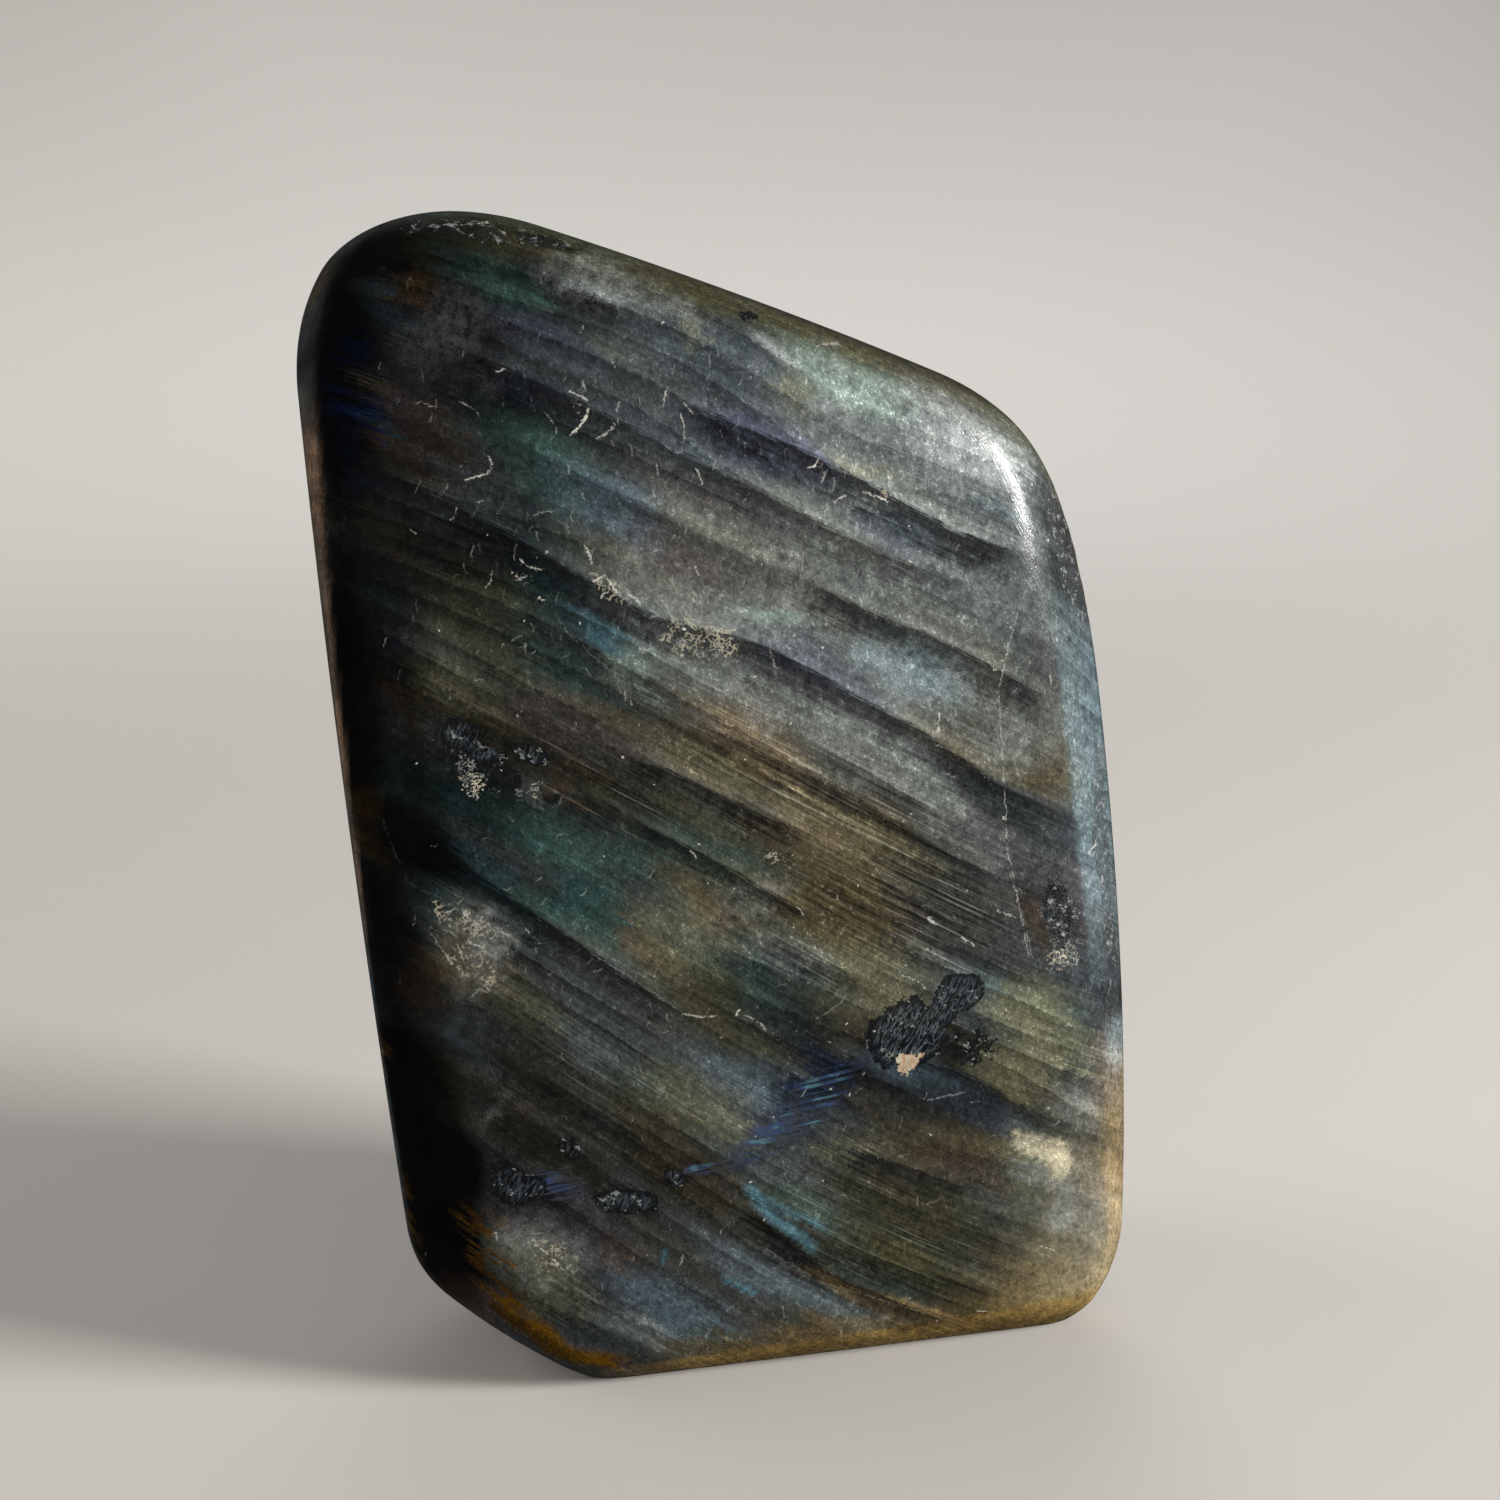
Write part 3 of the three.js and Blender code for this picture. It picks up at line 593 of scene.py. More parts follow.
HAIRS = [
    # strength, then the ends of each pale hair of mineral, with the point it bends through between them
    # the upper left
    (0.5, (-28.5, 89.6), (-27.6, 89.9), (-26.9, 89.3)), (0.5, (-25, 89.7), (-24, 89.4), (-23.3, 88.6)),
    (0.5, (-18, 88.8), (-17.2, 88), (-17, 87)), (0.8, (-16, 90.4), (-14.8, 90.1), (-14.2, 89.4)),
    (1, (-14.2, 89.4), (-14.6, 88), (-16, 86.8)), (0.6, (-14.8, 91.3), (-14.5, 90.4)),
    (0.8, (-13.9, 86.5), (-12.6, 87), (-12.2, 87.8)), (0.6, (-12, 88.6), (-11.8, 89.6)),
    (0.9, (-24.8, 83.4), (-24, 83.5), (-22.6, 84.2)), (0.6, (-24, 81.6), (-23.3, 81.7)),
    (0.7, (-22.4, 80.7), (-21.9, 81.2)), (0.7, (-22.8, 85.4), (-22.4, 84.6)),
    (0.9, (-21.8, 92), (-21, 92.3)), (0.5, (-19.3, 80.4), (-18.4, 80.8), (-17.4, 80.8)),
    (0.6, (-29.4, 79.6), (-28.9, 79.1)), (0.8, (-8.2, 89), (-7.9, 90), (-7.6, 90.7)),
    (0.8, (-6.4, 89.4), (-5.6, 88.4)), (0.8, (-6.7, 88.6), (-6.3, 87.4), (-6.5, 86)),
    (0.5, (-8.2, 85.9), (-6.8, 85.3)), (0.8, (-5.6, 84), (-5.2, 83.4), (-5, 82.6)),
    (0.6, (-9.3, 82.3), (-9.1, 81.6)),
    # under the brow
    (1, (4, 83.7), (4.8, 84)), (0.7, (5.2, 82.4), (5.6, 83.4)), (0.8, (6.2, 80.8), (7.5, 81.4)),
    (1, (8.8, 81.6), (10, 81.3), (11.2, 80.7)), (0.6, (-4.4, 80.2), (-4, 79.6)),
    (0.6, (-1.6, 81), (-1, 81.8)), (0.6, (5.4, 93.6), (6.6, 94), (7.8, 93.8)),
    (0.5, (0.6, 88.4), (1.1, 87.2)), (0.5, (-1.4, 86), (-1.2, 84.8)),
    # the middle
    (0.8, (-20.6, 77), (-20, 76.2), (-18.7, 76)), (0.6, (-21, 75.2), (-20, 75.6)),
    (1, (-14.8, 74.8), (-14.2, 75.2), (-13.4, 75.3)), (1, (-13.4, 75.3), (-13, 74.2), (-11.9, 73.3)),
    (0.8, (-15.2, 78), (-14.7, 77), (-14.6, 76.2)), (0.9, (-14, 73.4), (-13.5, 74)),
    (0.8, (-11.6, 73.8), (-10.6, 72.9)), (0.5, (-21.6, 70.2), (-20.6, 70.6)),
    (0.8, (-19.2, 73.7), (-18.6, 73.4)), (0.7, (-6, 76), (-5.6, 75)),
    (0.6, (3, 74.2), (3.5, 75.4), (3.5, 76.8)), (1, (15.5, 62.4), (15.3, 61.4), (15.5, 60.6)),
    (0.7, (26.1, 65), (26.3, 64)), (0.5, (-23.3, 69.6), (-23.1, 69)), (0.5, (-3, 71.8), (-2, 72.2)),
    # the lower middle
    (0.7, (-8, 36.9), (-6.4, 36.3), (-4.8, 36.5)), (0.9, (-3.2, 36.3), (-2.8, 36.9)),
    (0.7, (-2.4, 36.3), (-1.2, 35.8), (-0.4, 34.6)), (0.7, (2.4, 45.9), (3, 45)),
    (0.7, (3.2, 43.6), (3.9, 42.8), (4.2, 41.8)), (0.8, (12, 38.7), (13.4, 38.3), (14.4, 37.2)),
    (0.5, (4, 35.4), (5.8, 35.8), (7, 37.4)), (0.9, (-7, 51.6), (-6.4, 50.8)),
    (1, (14.4, 43.9), (15.4, 43.2)), (0.9, (17.6, 41.8), (19, 40.8)), (0.7, (21, 44), (23, 43)),
    (0.8, (22.1, 34.6), (22.2, 33.6)), (0.9, (30.4, 48), (32.4, 48.8)), (0.5, (18, 25.6), (20.5, 25.9)),
    (0.5, (14.6, 26.4), (18.4, 26.8)),
    # the lower left and the foot
    (0.7, (-28.2, 47.2), (-26.8, 47.6)), (0.8, (-26.8, 47.6), (-25.8, 46.4)),
    (0.6, (-25.8, 46.4), (-22.4, 44.9)), (0.6, (-27.6, 45.6), (-26.2, 44.5)),
    (0.7, (-26.2, 44.5), (-24.8, 44)), (0.6, (-24.8, 44), (-25.2, 42.4)),
    (0.5, (-29.4, 45.6), (-27.6, 42.8)), (0.5, (-26, 42), (-24.6, 40.8)),
    (0.5, (-24.6, 40.8), (-26.2, 39.6)), (0.7, (-21.4, 45.6), (-20, 44)), (0.8, (-23.4, 43), (-22.8, 43.4)),
    (0.7, (-21.8, 17), (-20.4, 16.9)), (0.9, (-21.4, 16), (-20.2, 14.8), (-18.6, 12.8)),
    (0.8, (-24.8, 17.4), (-24.6, 16.6)), (0.8, (28, 9.2), (26.4, 10)), (0.6, (28.2, 12.4), (27.6, 13.6)),
    (0.9, (20.2, 3.9), (21.4, 3.7)), (0.6, (7, 3.8), (7.2, 2.4)), (0.6, (1.2, 7.2), (1.4, 5.8)),
    (0.6, (-8, 13.6), (-8.4, 12.4)),
]
SWARMS = [
    # how many, the middle's x and z, the spread each way, slant, its spread, length, strength
    (190, -12, 85, 9, 9, 78, 30, 0.9, 0.33), (70, 2, 82, 8, 6, 80, 25, 0.9, 0.33),
    (30, 12, 88, 7, 3, -25, 30, 1, 0.3), (40, 18, 72, 6, 7, 75, 40, 0.9, 0.33),
    (90, -12, 71, 9, 5, 60, 60, 0.8, 0.35), (60, 5, 62, 9, 9, -30, 30, 0.8, 0.3),
    (60, 8, 44, 9, 6, -35, 35, 0.9, 0.35), (60, -20, 46, 6, 6, 60, 60, 0.8, 0.3),
    (25, -10, 32, 6, 7, 80, 30, 1, 0.3), (40, 12, 25, 8, 8, 50, 50, 1, 0.35),
    (35, -4, 10, 11, 6, 85, 30, 0.9, 0.3), (20, 26, 30, 3, 9, 60, 50, 0.8, 0.4),
    (90, -4, 72, 13, 14, 0, 90, 0.22, 0.75), (70, 2, 34, 14, 16, 0, 90, 0.22, 0.7),
    (25, 22, 74, 5, 9, 0, 90, 0.25, 0.8),
]
STROKE_LAYERS = 6
STROKE_ROOM = 2.3     # how far apart two strokes of one layer are, in millimetres
STROKE_SPOTS = 7      # spots along a stroke that this room is measured from
STROKE_REACH = 1.5    # how far round a stroke its field is worked out, in millimetres
dice = np.random.default_rng(SEED)


def swarm(count, middle_x, middle_z, spread_x, spread_z, slant, slant_spread, length, strength):
    """Short strokes at settled random places about a middle, at about one slant, each bent a little."""
    middles = np.array([middle_x, middle_z]) + dice.normal(size=(count, 2)) * (spread_x, spread_z)
    slants = np.radians(slant + slant_spread * dice.uniform(-1, 1, count))
    way = np.stack([np.cos(slants), np.sin(slants)], axis=-1)
    side = np.stack([-way[:, 1], way[:, 0]], axis=-1)
    halves = (length / 2 * dice.uniform(0.5, 1.5, count))[:, None]
    bends = halves * dice.uniform(-0.5, 0.5, (count, 1))
    strengths = strength * dice.uniform(0.3, 1.6, count)
    strokes = np.stack([middles - way * halves, middles + side * bends, middles + way * halves], axis=1)
    return [(min(share, 1.0), *places.tolist()) for share, places in zip(strengths, strokes)]


def dealt_strokes():
    """Strokes dealt into layers where no two are near each other. Small ones with no room are left out."""
    stretches = [(strength, *ends) for strength, *line in VEINS for ends in zip(line, line[1:])]
    placed = stretches + HAIRS
    scattered = [stroke for group in SWARMS for stroke in swarm(*group)]
    layers = [[] for _ in range(STROKE_LAYERS)]
    nowhere = np.full((1, 2), 10.0 * FAR)
    spots = [nowhere] * STROKE_LAYERS
    for number, (strength, *stroke) in enumerate(placed + scattered):
        own = np.linspace(stroke[0], stroke[-1], STROKE_SPOTS)
        rooms = [np.linalg.norm(own[:, None] - others, axis=-1).min() for others in spots]
        layer = next((one for one, room in enumerate(rooms) if room > STROKE_ROOM), int(np.argmax(rooms)))
        if rooms[layer] < STROKE_ROOM and number >= len(placed):
            continue
        layers[layer].append((strength, stroke))
        spots[layer] = np.concatenate([spots[layer], own])
    return layers


def along_and_beside(start, end, px, pz):
    """Places seen from a stroke: from -1 at its start to 1 at its end, and the distance to its left."""
    (ax, az), (bx, bz) = start, end
    length = math.dist(start, end)
    way = 2 * ((px - ax) * (bx - ax) + (pz - az) * (bz - az)) / length**2 - 1
    return way, ((pz - az) * (bx - ax) - (px - ax) * (bz - az)) / length


def stroke_field(layer):
    """Place along the nearest stroke from -1 to 1, distance to its side and its strength, gone 1 mm away."""
    nearest = np.full(len(x), np.inf)
    held = np.zeros((len(x), 3))
    for strength, stroke in layer:
        start, end = stroke[0], stroke[-1]
        half = math.dist(start, end) / 2
        middle_x, middle_z = np.add(start, end) / 2
        around = np.flatnonzero(np.hypot(x - middle_x, z - middle_z) < half + STROKE_REACH)
        way, beside = along_and_beside(start, end, x[around], z[around])
        if len(stroke) == 3:
            bend_way, bend = along_and_beside(start, end, *stroke[1])
            beside = beside - 0.5 * bend * (1 - np.minimum(way**2, 2)) / (1 - bend_way**2)
        away = np.hypot(beside, np.maximum(np.abs(way) - 1, 0) * half)
        closer = away < nearest[around]
        changed = around[closer]
        held[changed] = np.column_stack([way, beside, np.full(len(way), float(strength))])[closer]
        nearest[changed] = away[closer]
    held[:, 2] *= front * (1 - smooth(0.65, 1.0, nearest))
    return held


def nearest_line(lines, reach):
    """The signed distance to the nearest of several lines, its strength, gone at reach, and its fade."""
    best = np.full(len(x), 2.0 * reach)
    fade = np.ones(len(x))
    strength = np.zeros(len(x))
    for line_strength, line_fade, *line in lines:
        signed, body_share = line_distance(line)
        closer = (np.abs(signed) < np.abs(best)) & (body_share > 0)
        best = np.where(closer, signed, best)
        fade = np.where(closer, line_fade, fade)
        strength = np.where(closer, line_strength * body_share, strength)
    near = 1 - smooth(0.75 * reach, reach, np.abs(best))
    return np.column_stack([best, strength * near * front, fade])


LINE_REACH = 3.4   # how far a parting's shadow can reach, in millimetres
parting_fields = {name: nearest_line(lines, LINE_REACH) for name, lines in PARTINGS.items()}
stroke_fields = [stroke_field(layer) for layer in dealt_strokes()]

# The patches of the other marks: strength, x, z, half length, half width, tilt.
stripes = together([
    (0.6, 3, 56, 16, 5, 31), (0.7, 12, 45, 11, 5, 31), (0.4, -14, 58, 8, 4), (0.35, 12, 12, 13, 6),
    (0.3, -15, 33, 8, 3, 38), (0.3, -24, 80, 6, 1.5), (0.3, -26, 66, 5, 3), (0.5, 1.5, 41, 5, 2, 31),
])
haze = together([
    (0.8, 6, 91, 9, 3, 26), (0.9, 18, 86, 7, 3, 28), (0.6, -10, 98, 7, 2.2, 18),
    (0.7, -20, 14.5, 5, 2.6, 35), (0.8, -10.5, 67.5, 2.6, 2.4, 60), (0.5, 6, 60, 14, 4, 31),
    (0.6, 13, 67, 7, 3, 27), (0.5, 0, 46, 4, 2, 20), (0.7, -26, 44, 5, 4, 50),
    (0.4, 26.8, 19.6, 3.4, 1.8, 22), (0.5, 28, 12, 2, 5, 0), (0.6, -24.6, 30.6, 2, 2.6, 20),
    (0.5, -4, 74, 8, 3, 20), (0.6, 18.4, 37, 2.4, 1.4, 0), (0.15, -24, 94, 6, 4, 20),
    (0.3, 8, 76, 12, 4, 28),
])
crumbs = together([
    (1, -5.4, 69.6, 3.4, 1.9, 15), (0.7, -13, 74.4, 2.6, 0.8, 35), (0.4, -14.6, 89, 2, 2, 0),
    (0.3, -24, 84, 2.4, 0.9, -20), (0.4, 4.5, 83.6, 2, 0.9, -20), (0.6, 10.5, 81.3, 1.6, 0.4, 10),
    (0.5, -19.6, 76, 2, 0.8, 0), (0.9, 27.3, 39.2, 2, 1.2, 0), (0.6, -19.5, 14.6, 3.4, 1.6, 40),
    (0.75, -26.2, 46.2, 3.4, 1.2, 35), (0.7, -26, 42.8, 1.8, 1.8, 0), (0.6, -24.6, 41, 1, 2, 0),
    (1, 0.8, 50.3, 1.1, 0.7, 0), (0.5, 5, 45, 3, 1, 40),
])
black = together([
    (1, 12.8, 33.4, 4, 3.5, 0), (1, 17.6, 36.6, 1.7, 1.8, 0), (0.9, 15.8, 34.6, 2.6, 1.5, -35),
    (0.5, 19.5, 31, 3.2, 2.2, 15), (0.8, -25.8, 62.4, 1.5, 1.6, 0), (0.9, -24.4, 60.6, 1.5, 0.9, 0),
    (0.8, -20.8, 60.8, 1.7, 0.9, 20), (0.6, -22.6, 58.6, 1.8, 1, 20), (0.9, 27.2, 43.4, 1.4, 2.6, 0),
    (0.8, -22.8, 21.6, 2.4, 1.6, 20), (0.8, -13.8, 19.2, 3.6, 1.2, 8), (0.8, -8.3, 21, 1.5, 0.9, 30),
    (0.5, 0.3, 95.8, 1.3, 0.7, 0), (0.7, -18.2, 25.4, 1.6, 1, 30),
])
crystals = together([
    (0.8, -25.5, 58.6, 2.1, 0.95, 75), (0.65, -20.4, 57.6, 1.6, 0.8, -25), (0.6, -23.2, 60.6, 1, 0.7, 60),
    (0.6, 11.5, 31.5, 0.9, 0.6, 30), (0.9, 27.6, 39.4, 1.6, 0.9, 0), (0.5, -4.8, 15.4, 1.2, 0.9, 20),
    (0.6, -24, 103.9, 5, 0.6, 4),
])
tan_spot = together([(1, 12.9, 30.6, 1.4, 1, 0)])
feather = together([
    (1, 1.6, 26, 7.4, 2.1, -33), (0.9, -20, 21.4, 2.6, 1.6, 20), (0.7, -6, 21.6, 2.6, 0.8, -20),
])
quiet = together([
    # the dark edges, where few marks show
    (1, -34, 92, 13, 3.6, 88), (0.9, -29, 101.6, 6, 1.6, -4), (1, -34.4, 65, 12, 2.4, 86),
    (1, -31, 28, 26, 5.6, 88), (0.8, -30.5, 54, 5.5, 2.6, 40), (0.9, 31, 9, 8, 13, 0),
])
streakiness = (0.22 + 0.9 * stripes + 0.12 * smooth(66, 50, z)) * (1 - 0.85 * quiet) * (0.5 + 0.5 * front)
haze = haze * smooth(0.4, 0.68, clouds(points / 3.5, SEED + 84, 3)) * (1 - quiet)

# The lamellae step: each has its own brightness, which falls at once at its upper edge.
COARSE_STEP = 2.7   # heights of the steps, in millimetres
FINE_STEP = 0.8
coarse_steps = across / COARSE_STEP + 3.2 * drawn_out(36, 9, 20, SEED + 81)
fine_steps = across / FINE_STEP + 3.0 * drawn_out(26, 4, 14, SEED + 82)
step_depth = 0.5 * smooth(0.35, 0.62, drawn_out(18, 7, 12, SEED + 83))
step_depth = step_depth * (1 - 0.8 * quiet) * (0.4 + 0.6 * front) * smooth(1, 9, z)
step_depth = step_depth * (1 - 0.4 * smooth(-4, 8, x) * smooth(54, 62, z))

# The mesh of the stone
# The fields above are stored on its points under names that the finish reads.
stone_mesh = bpy.data.meshes.new("polished_stone")
stone_mesh.from_pydata((points * MM).tolist(), [], stone_triangles().tolist())
stone_mesh.shade_smooth()
SHARP_ANGLE = math.radians(50)   # edges sharper than this are shaded as edges
stone_mesh.set_sharp_from_angle(angle=SHARP_ANGLE)


def keep_field(name, kind, values):
    """Stores the columns of a field, one row for each point of the stone."""
    field = stone_mesh.attributes.new(name, kind, "POINT")
    slot = "color" if kind == "FLOAT_COLOR" else "vector"
    field.data.foreach_set(slot, np.column_stack(values).astype(np.float32).ravel())


keep_field("body_colour", "FLOAT_COLOR", [body, np.ones(len(points))])
keep_field("slid_colour", "FLOAT_COLOR", [slid_body, np.ones(len(points))])
VECTOR_FIELDS = {
    "grain": [along, across, through],
    "steps": [coarse_steps, fine_steps, step_depth],
    "texture": [streakiness, haze, feather],
    "inclusions": [black, crystals, tan_spot],
    "surface_marks": [crumbs, rough, quiet],
    **{f"{name}_partings": [values] for name, values in parting_fields.items()},
    **{f"strokes_{number}": [values] for number, values in enumerate(stroke_fields)},
}
for name, values in VECTOR_FIELDS.items():
    keep_field(name, "FLOAT_VECTOR", values)

stone = bpy.data.objects.new("polished_stone", stone_mesh)
bpy.context.collection.objects.link(stone)

# The finish of the stone
# A hand polish on feldspar: glassy over satin, with lamellae, partings and inclusions under it.


class Wire:
    """One output of a material's nodes. Arithmetic on it adds Math nodes."""

    def __init__(self, socket):
        self.socket = socket
        self.tree = socket.id_data

    def math(self, operation, *others):
        """A Math node of this wire and others."""
        return made(self.tree, "ShaderNodeMath", {"operation": operation}, dict(enumerate((self, *others))))

    def __add__(self, other):
        return self.math("ADD", other)

    __radd__ = __add__

    def __mul__(self, other):
        return self.math("MULTIPLY", other)

    def __sub__(self, other):
        return self.math("SUBTRACT", other)

    def __rsub__(self, other):
        return made(self.tree, "ShaderNodeMath", {"operation": "SUBTRACT"}, {0: other, 1: self})

    def __truediv__(self, other):
        return self.math("DIVIDE", other)

    def __abs__(self):
        return self.math("ABSOLUTE")


def made(tree, kind, settings, inputs, output=0):
    """A node of a kind, as a wire from one of its outputs, if it has any: its settings are set
    first, then the values or links of its sockets."""
    node = tree.nodes.new(kind)
    for name, value in settings.items():
        setattr(node, name, value)
    for name, value in inputs.items():
        if isinstance(value, Wire):
            tree.links.new(value.socket, node.inputs[name])
        else:
            node.inputs[name].default_value = value
    return Wire(node.outputs[output]) if node.outputs else None


def step_up(value, low, high):
    """Smooth step from 0 at low to 1 at high."""
    settings = {"interpolation_type": "SMOOTHSTEP"}
    inputs = {"Value": value, "From Min": low, "From Max": high}
    return made(value.tree, "ShaderNodeMapRange", settings, inputs)


def shares_of_light(colour):
    """The name of a palette colour as the four shares of a socket. Anything else stays as it is."""
    return (*linear(PALETTE[colour]), 1) if isinstance(colour, str) else colour


def over(base, colour, share):
    """One colour laid over another by a share. Each is a wire, or the name of a palette colour.
    A Mix node of colours has its share at socket 0, they are at 6 and 7, and its result is at 2."""
    settings = {"data_type": "RGBA", "clamp_factor": True}
    inputs = {0: share, 6: shares_of_light(base), 7: shares_of_light(colour)}
    return made(share.tree, "ShaderNodeMix", settings, inputs, output=2)


def lit(base, gain):
    """A colour made lighter or darker by a gain."""
    return made(base.tree, "ShaderNodeVectorMath", {"operation": "SCALE"}, {0: base, "Scale": gain})


polish = bpy.data.materials.new("polished_labradorite")
polish.use_nodes = True
tree = polish.node_tree
tree.nodes.clear()


def stored(name, output="Vector"):
    """A stored field, as a vector or as a colour."""
    return made(tree, "ShaderNodeAttribute", {"attribute_name": name}, {}, output)


def stored_parts(name):
    """The three parts of a stored field."""
    split = made(tree, "ShaderNodeSeparateXYZ", {}, {0: stored(name)})
    return [Wire(part) for part in split.socket.node.outputs]


def noise(vector, sizes, turn=0, detail=2, roughness=0.6):
    """Soft noise whose blots have the given sizes, after a turn about the depth axis in degrees."""
    turned = (0, math.radians(turn), 0)
    mapped = made(tree, "ShaderNodeMapping", {"vector_type": "TEXTURE"},
                  {"Vector": vector, "Rotation": turned, "Scale": sizes})
    inputs = {"Vector": mapped, "Scale": 1, "Detail": detail, "Roughness": roughness}
    return made(tree, "ShaderNodeTexNoise", {}, inputs)


def torn(share, tear, low, high, gone=0.02, whole=0.1):
    """A stored patch with a torn edge, and nothing where the patch itself is gone."""
    return step_up(share + ragged * tear, low, high) * step_up(share, gone, whole)


def squiggles(sizes, turn, thick):
    """Thin curved strokes where a noise crosses its middle."""
    hills = noise(place, sizes, turn, detail=1)
    return 1 - step_up(abs(hills - 0.5), thick * 0.4, thick * 1.4)


grain = stored("grain")
coarse_step, fine_step, step_share = stored_parts("steps")
streakiness_here, haze_share, feather_share = stored_parts("texture")
black_share, crystal_share, tan_share = stored_parts("inclusions")
crumb_share, rough_share, quiet_share = stored_parts("surface_marks")
place = made(tree, "ShaderNodeTexCoord", {}, {}, output="Object")

# Noises that several marks share. Those of the grain have sizes in millimetres along, across and
# through it, and those of a place have sizes in metres. They swing about 0.5, and ragged and
# jitter about 0.
streaks = noise(grain, (14, 0.7, 12))
threads = noise(grain, (8, 0.22, 8), detail=1)
scores = noise(grain, (2.2, 0.12, 3), detail=1)
mottle = noise(place, (0.0011, 0.0011, 0.0011), detail=3, roughness=0.7)
dust = noise(place, (0.0002, 0.0002, 0.0002), detail=1)
grit = noise(place, (0.0004, 0.0004, 0.0006), turn=-20, detail=3, roughness=0.75)
ragged = noise(place, (0.0011, 0.0011, 0.0013), turn=40, detail=3, roughness=0.8) - 0.5
jitter = mottle - 0.5

# Lamellae: two layers of colour that take turns along the grain, stepped, streaked and grainy.
turns = step_up(streaks * 0.5 + threads * 0.5 + jitter * 0.4, 0.46, 0.54)
colour = over(stored("body_colour", "Color"), stored("slid_colour", "Color"), turns)
coarse_saw = (coarse_step + jitter * 0.25).math("FRACT")
fine_saw = (fine_step + jitter * 0.4).math("FRACT")
gain = 1.12 + (streaks - 0.5) * streakiness_here * 1.6
gain = gain * (1 + (threads - 0.5) * streakiness_here * 2.2)
gain = gain * (1 + (scores - 0.5) * (0.3 + streakiness_here * 0.8))
gain = gain * (0.15 + mottle * 1.7) * (0.6 + dust * 0.8) * (0.05 + grit * 1.9)
gain = gain * (1 - step_up(coarse_saw, 0.1, 1.0) * step_share)
gain = gain * (1 - step_up(fine_saw, 0.3, 1.0) * streakiness_here * 0.4)
colour = lit(colour, gain)
threads_up = step_up(threads, 0.6, 0.7) * step_up(streaks, 0.5, 0.6) * step_up(streakiness_here, 0.3, 0.9)
colour = over(colour, "pearl", threads_up * 0.4)

# Haze: a pale milky bloom.
colour = over(colour, "pearl", haze_share * (0.32 + jitter * 1.4 + (dust - 0.5) * 0.6))

# Partings: a sharp upper edge and a shadow that fades below it in streaks.
smear = (streaks - 0.5) * 1.2 + jitter
for name in PARTINGS:
    distance, strength, fade = stored_parts(name + "_partings")
    below_line = jitter * 0.5 + (scores - 0.5) * 1.3 - distance
    lower_end = 1 - step_up(below_line / fade + smear, 0.1, 2.0)
    shadow = step_up(below_line, -0.04, 0.12) * lower_end * strength
    above_line = step_up(distance, 0, 0.3) * (1 - step_up(distance, 0.3, 1.8)) * strength
    colour = lit(colour, (1 + above_line * 0.45) * (1 - shadow * 0.84))
    colour = over(colour, "navy", shadow * 0.1)

# A film of faint curved scratches, and crumbs: curled cream flakes in close groups with dark gaps.
film = squiggles((0.0005, 0.0005, 0.0012), turn=-20, thick=0.03) * step_up(ragged, 0.0, 0.1)
specks = step_up(dust, 0.62, 0.7) * step_up(grit, 0.4, 0.6)
colour = lit(colour, 1 + (film + specks) * mottle * (1 - quiet_share) * 1.4)
crumb_up = step_up(crumb_share + jitter * 1.4, 0.4, 0.65)
curls = squiggles((0.0006, 0.0006, 0.0006), turn=0, thick=0.06) * step_up(ragged, -0.06, 0.04)
colour = over(lit(colour, 1 - crumb_up * 0.2), "cream", curls * crumb_up * mottle)

# Blue feathers: thin bright stripes of blue, violet and cyan on deep blue.
feather_lines = noise(place, (0.008, 0.002, 0.00034), turn=-8)
feather_hue = noise(place, (0.003, 0.002, 0.0012), detail=1)
feather_colour = over("violet", "cobalt", step_up(feather_hue, 0.4, 0.52))
feather_colour = over(feather_colour, "cyan", step_up(feather_hue, 0.54, 0.6))
feather_up = step_up(feather_share + jitter * 0.8, 0.2, 0.8)
colour = over(colour, "navy", feather_up * 0.35)
colour = over(colour, feather_colour, feather_up * step_up(feather_lines, 0.47, 0.6) * (0.3 + mottle * 0.9))

# Black fibrous inclusions with a hatching of pale fibres.
black_up = torn(black_share, 1.35, 0.41, 0.5)
hatching = squiggles((0.00026, 0.001, 0.0014), turn=25, thick=0.05)
colour = over(colour, "ink", black_up * 0.95)
fibres_up = black_up * hatching * step_up(black_share, 0.5, 1.0)
colour = over(colour, "mist", fibres_up * (mottle * 0.8))

# The unpolished break: dark, with bright torn flecks.
rough_up = torn(rough_share, 1.8, 0.4, 0.56)
flecks = noise(place, (0.0009, 0.0009, 0.0006), turn=20, roughness=0.75)
colour = over(colour, "ink", rough_up * 0.5)
colour = over(colour, "pearl", rough_up * step_up(flecks, 0.53, 0.7) * (mottle * 1.1))
colour = over(colour, "pearl", black_up * step_up(flecks, 0.62, 0.68) * 0.5)

# White crystals and the tan spot.
crystal_up = torn(crystal_share, 2, 0.5, 0.6, gone=0.05, whole=0.2) * step_up(dust, 0.46, 0.54)
crystal_colour = over("dove", "cream", step_up(flecks, 0.5, 0.6))
colour = over(colour, crystal_colour, crystal_up * 0.85)
tan_up = torn(tan_share, 3.4, 0.55, 0.65, gone=0.05, whole=0.2)
tan_colour = over("tan", "cream", step_up(grit, 0.42, 0.6))
colour = over(colour, lit(tan_colour, 0.4 + mottle * 1.1), tan_up * 0.9)

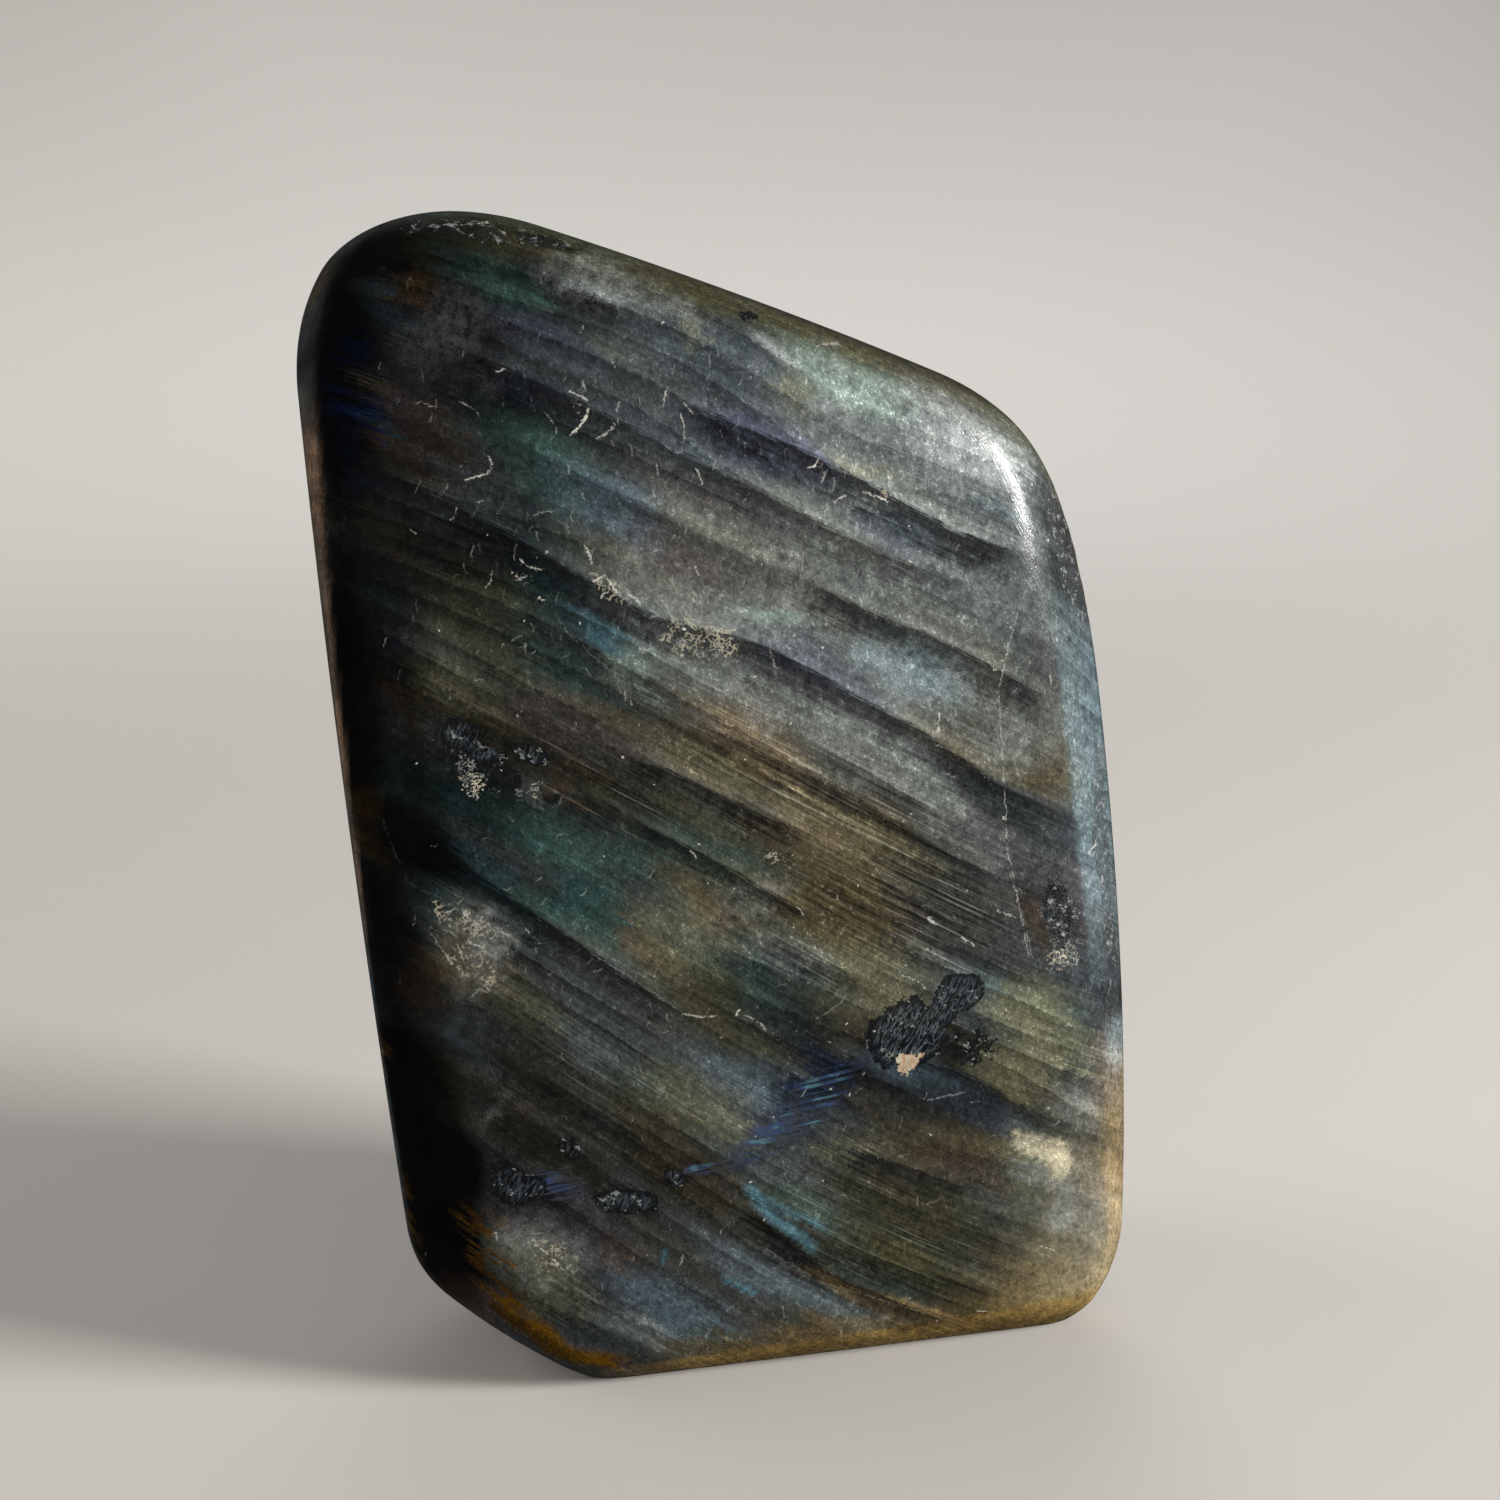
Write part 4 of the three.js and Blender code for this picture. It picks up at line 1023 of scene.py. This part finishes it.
# Veins and single hairs: thin pale strokes that wander a little and are worn in places.
worn = step_up(mottle, 0.38, 0.5)
for number in range(STROKE_LAYERS):
    way, beside, stroke_strength = stored_parts(f"strokes_{number}")
    ends = 1 - step_up(abs(way), 0.85, 1.02)
    beside_here = abs(beside + ragged * 0.6 + (dust - 0.5) * 0.4)
    stroke_up = (1 - step_up(beside_here - stroke_strength * 0.07, -0.04, 0.05)) * ends * worn
    stroke_colour = over("pearl", "frost", stroke_strength)
    colour = over(colour, stroke_colour, stroke_up * stroke_strength * (0.4 + mottle * 0.9))

# Gloss and small relief.
PIT_DEPTH = 0.00025   # metres
FELDSPAR_IOR = 1.56
scratches = noise(place, (0.00012, 0.0004, 0.0018), turn=-30, detail=0)
dullness = 0.15 + mottle * 0.14 + rough_up * 0.35 + black_up * 0.1
pits = (dust - 0.5) * (0.08 + rough_share * 1.2 + black_share * 0.4) + (scratches - 0.5) * 0.08
bumped = made(tree, "ShaderNodeBump", {}, {"Strength": 0.6, "Distance": PIT_DEPTH, "Height": pits})
shader = made(tree, "ShaderNodeBsdfPrincipled", {}, {
    "Base Color": colour, "Roughness": dullness, "Normal": bumped, "IOR": FELDSPAR_IOR,
})
made(tree, "ShaderNodeOutputMaterial", {}, {"Surface": shader})
stone_mesh.materials.append(polish)

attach(stone, "root")
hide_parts("labradorite")

# The floor and the backdrop
# A plain pale floor that runs up into a round wall, so that every view has the same ground.
FLOOR_RADIUS = 0.44   # in metres, like the wall's sizes
WALL_RADIUS = 1.07
WALL_HEIGHT = 0.9
BEND_STEPS = 24       # steps of the quarter circle that joins floor and wall


def turned_surface(name, radii, heights, around=96):
    """Surface of a profile turned about the upright axis: (r cos t, r sin t, h)."""
    turn = np.linspace(0, 2 * math.pi, around, endpoint=False)
    r = np.array(radii)[:, None]
    h = np.array(heights)[:, None]
    grid = np.stack([r * np.cos(turn), r * np.sin(turn), h + 0 * turn], axis=-1).reshape(-1, 3)
    here = np.arange(around)
    after = np.roll(here, -1)
    low = (np.arange(len(radii) - 1) * around)[:, None]
    quads = np.stack([low + here, low + here + around, low + after + around, low + after], axis=-1)
    mesh = bpy.data.meshes.new(name)
    mesh.from_pydata(grid.tolist(), [], quads.reshape(-1, 4).tolist())
    mesh.shade_smooth()
    piece = bpy.data.objects.new(name, mesh)
    bpy.context.collection.objects.link(piece)
    return piece


# The paper glows a little from some way out, so that the round wall isn't lost in the dark.
PAPER = (0.46, 0.448, 0.43, 1)
GLOW = (0.24, 0.233, 0.222, 1)
NO_GLOW = (0, 0, 0, 1)
GLOW_FROM = 0.15   # metres from the stone's foot, where the glow begins
GLOW_TO = 0.75     # and where it is full
paper = bpy.data.materials.new("pale_paper")
paper.use_nodes = True
paper_tree = paper.node_tree
paper_sockets = paper_tree.nodes["Principled BSDF"].inputs
paper_values = {"Base Color": PAPER, "Roughness": 0.9, "Specular IOR Level": 0.1, "Emission Strength": 1}
for name, value in paper_values.items():
    paper_sockets[name].default_value = value
paper_place = made(paper_tree, "ShaderNodeTexCoord", {}, {}, output="Object")
from_middle = made(paper_tree, "ShaderNodeVectorMath", {"operation": "LENGTH"}, {0: paper_place}, "Value")
glow = over(NO_GLOW, GLOW, step_up(from_middle, GLOW_FROM, GLOW_TO))
paper_tree.links.new(glow.socket, paper_sockets["Emission Color"])
paper.cycles.emission_sampling = "NONE"

floor = turned_surface("floor", [0.0001, FLOOR_RADIUS], [0, 0])
bend = np.linspace(0, math.pi / 2, BEND_STEPS)
bend_size = WALL_RADIUS - FLOOR_RADIUS
backdrop = turned_surface(
    "backdrop",
    [*(FLOOR_RADIUS + bend_size * np.sin(bend)), WALL_RADIUS],
    [*(bend_size * (1 - np.cos(bend))), WALL_HEIGHT],
)
for piece in (floor, backdrop):
    piece.data.materials.append(paper)
    piece.visible_glossy = False

# The light
# One soft key from the right and a little in front, as on the photographed stone, with a narrow
# lamp beside it that only draws the glint on the brow. Wide dim lamps light the back, the left
# side and the front, in a dim even room.
LAMP_SPREAD = math.radians(130)
LAMPS = {
    # azimuth, elevation, distance, width and height, power, colour
    "key_lamp": (62, 25, 0.68, (0.17, 0.34), 8.7, (1, 0.97, 0.92)),
    "glint_lamp": (62, 21, 0.8, (0.08, 0.3), 4.6, (1, 0.98, 0.96)),
    "back_lamp": (165, 20, 0.9, (0.6, 0.6), 6, (0.96, 0.98, 1)),
    "left_lamp": (-110, 30, 0.9, (0.6, 0.6), 4, (1, 0.92, 0.85)),
    "fill_lamp": (0, 25, 0.9, (0.8, 0.8), 1, (1, 1, 1)),
}
GLINT_LAMP = "glint_lamp"
ROOM_STRENGTH = 0.02


def soft_lamp(name, azimuth, elevation, distance, size, power, colour):
    """A lamp, size wide and high, at a distance in metres from the stone's middle, looking at it.
    Its power is that of an open lamp as bright ahead: by (tan a - a) / tan a for half its spread a."""
    aim = np.array([0, 0, HEIGHT * MM / 2])
    lamp = bpy.data.lights.new(name, "AREA")
    lamp.shape = "RECTANGLE"
    lamp.size, lamp.size_y = size
    half_spread = LAMP_SPREAD / 2
    lamp.spread = LAMP_SPREAD
    lamp.energy = power * (math.tan(half_spread) - half_spread) / math.tan(half_spread)
    lamp.color = colour
    holder = bpy.data.objects.new(name, lamp)
    holder.location = aim + facing(azimuth, elevation) * distance
    holder.rotation_euler = (math.radians(90 - elevation), 0, math.radians(azimuth))
    bpy.context.collection.objects.link(holder)
    return holder


for name, values in LAMPS.items():
    lamp = soft_lamp(name, *values)
    lamp.visible_diffuse = name != GLINT_LAMP
    lamp.visible_glossy = name == GLINT_LAMP

world = bpy.data.worlds.new("dim_room")
world.use_nodes = True
room = world.node_tree.nodes["Background"].inputs
room["Color"].default_value = (1, 1, 1, 1)
room["Strength"].default_value = ROOM_STRENGTH
bpy.context.scene.world = world
bpy.context.scene.view_settings.view_transform = "Standard"

# The camera
# The photograph's place and lens: a little to the left, above, looking down and to the right.
CAMERA_PLACE = (-0.0404, -0.1830, 0.1063)
LOOKS_DOWN = 15    # degrees
LOOKS_RIGHT = 13
camera_data = bpy.data.cameras.new("camera")
camera_data.lens = 50
camera_data.sensor_width = 36
camera_data.clip_start = 0.01
camera = bpy.data.objects.new("camera", camera_data)
camera.location = CAMERA_PLACE
camera.rotation_euler = (math.radians(90 - LOOKS_DOWN), 0, math.radians(-LOOKS_RIGHT))
bpy.context.collection.objects.link(camera)
bpy.context.scene.camera = camera
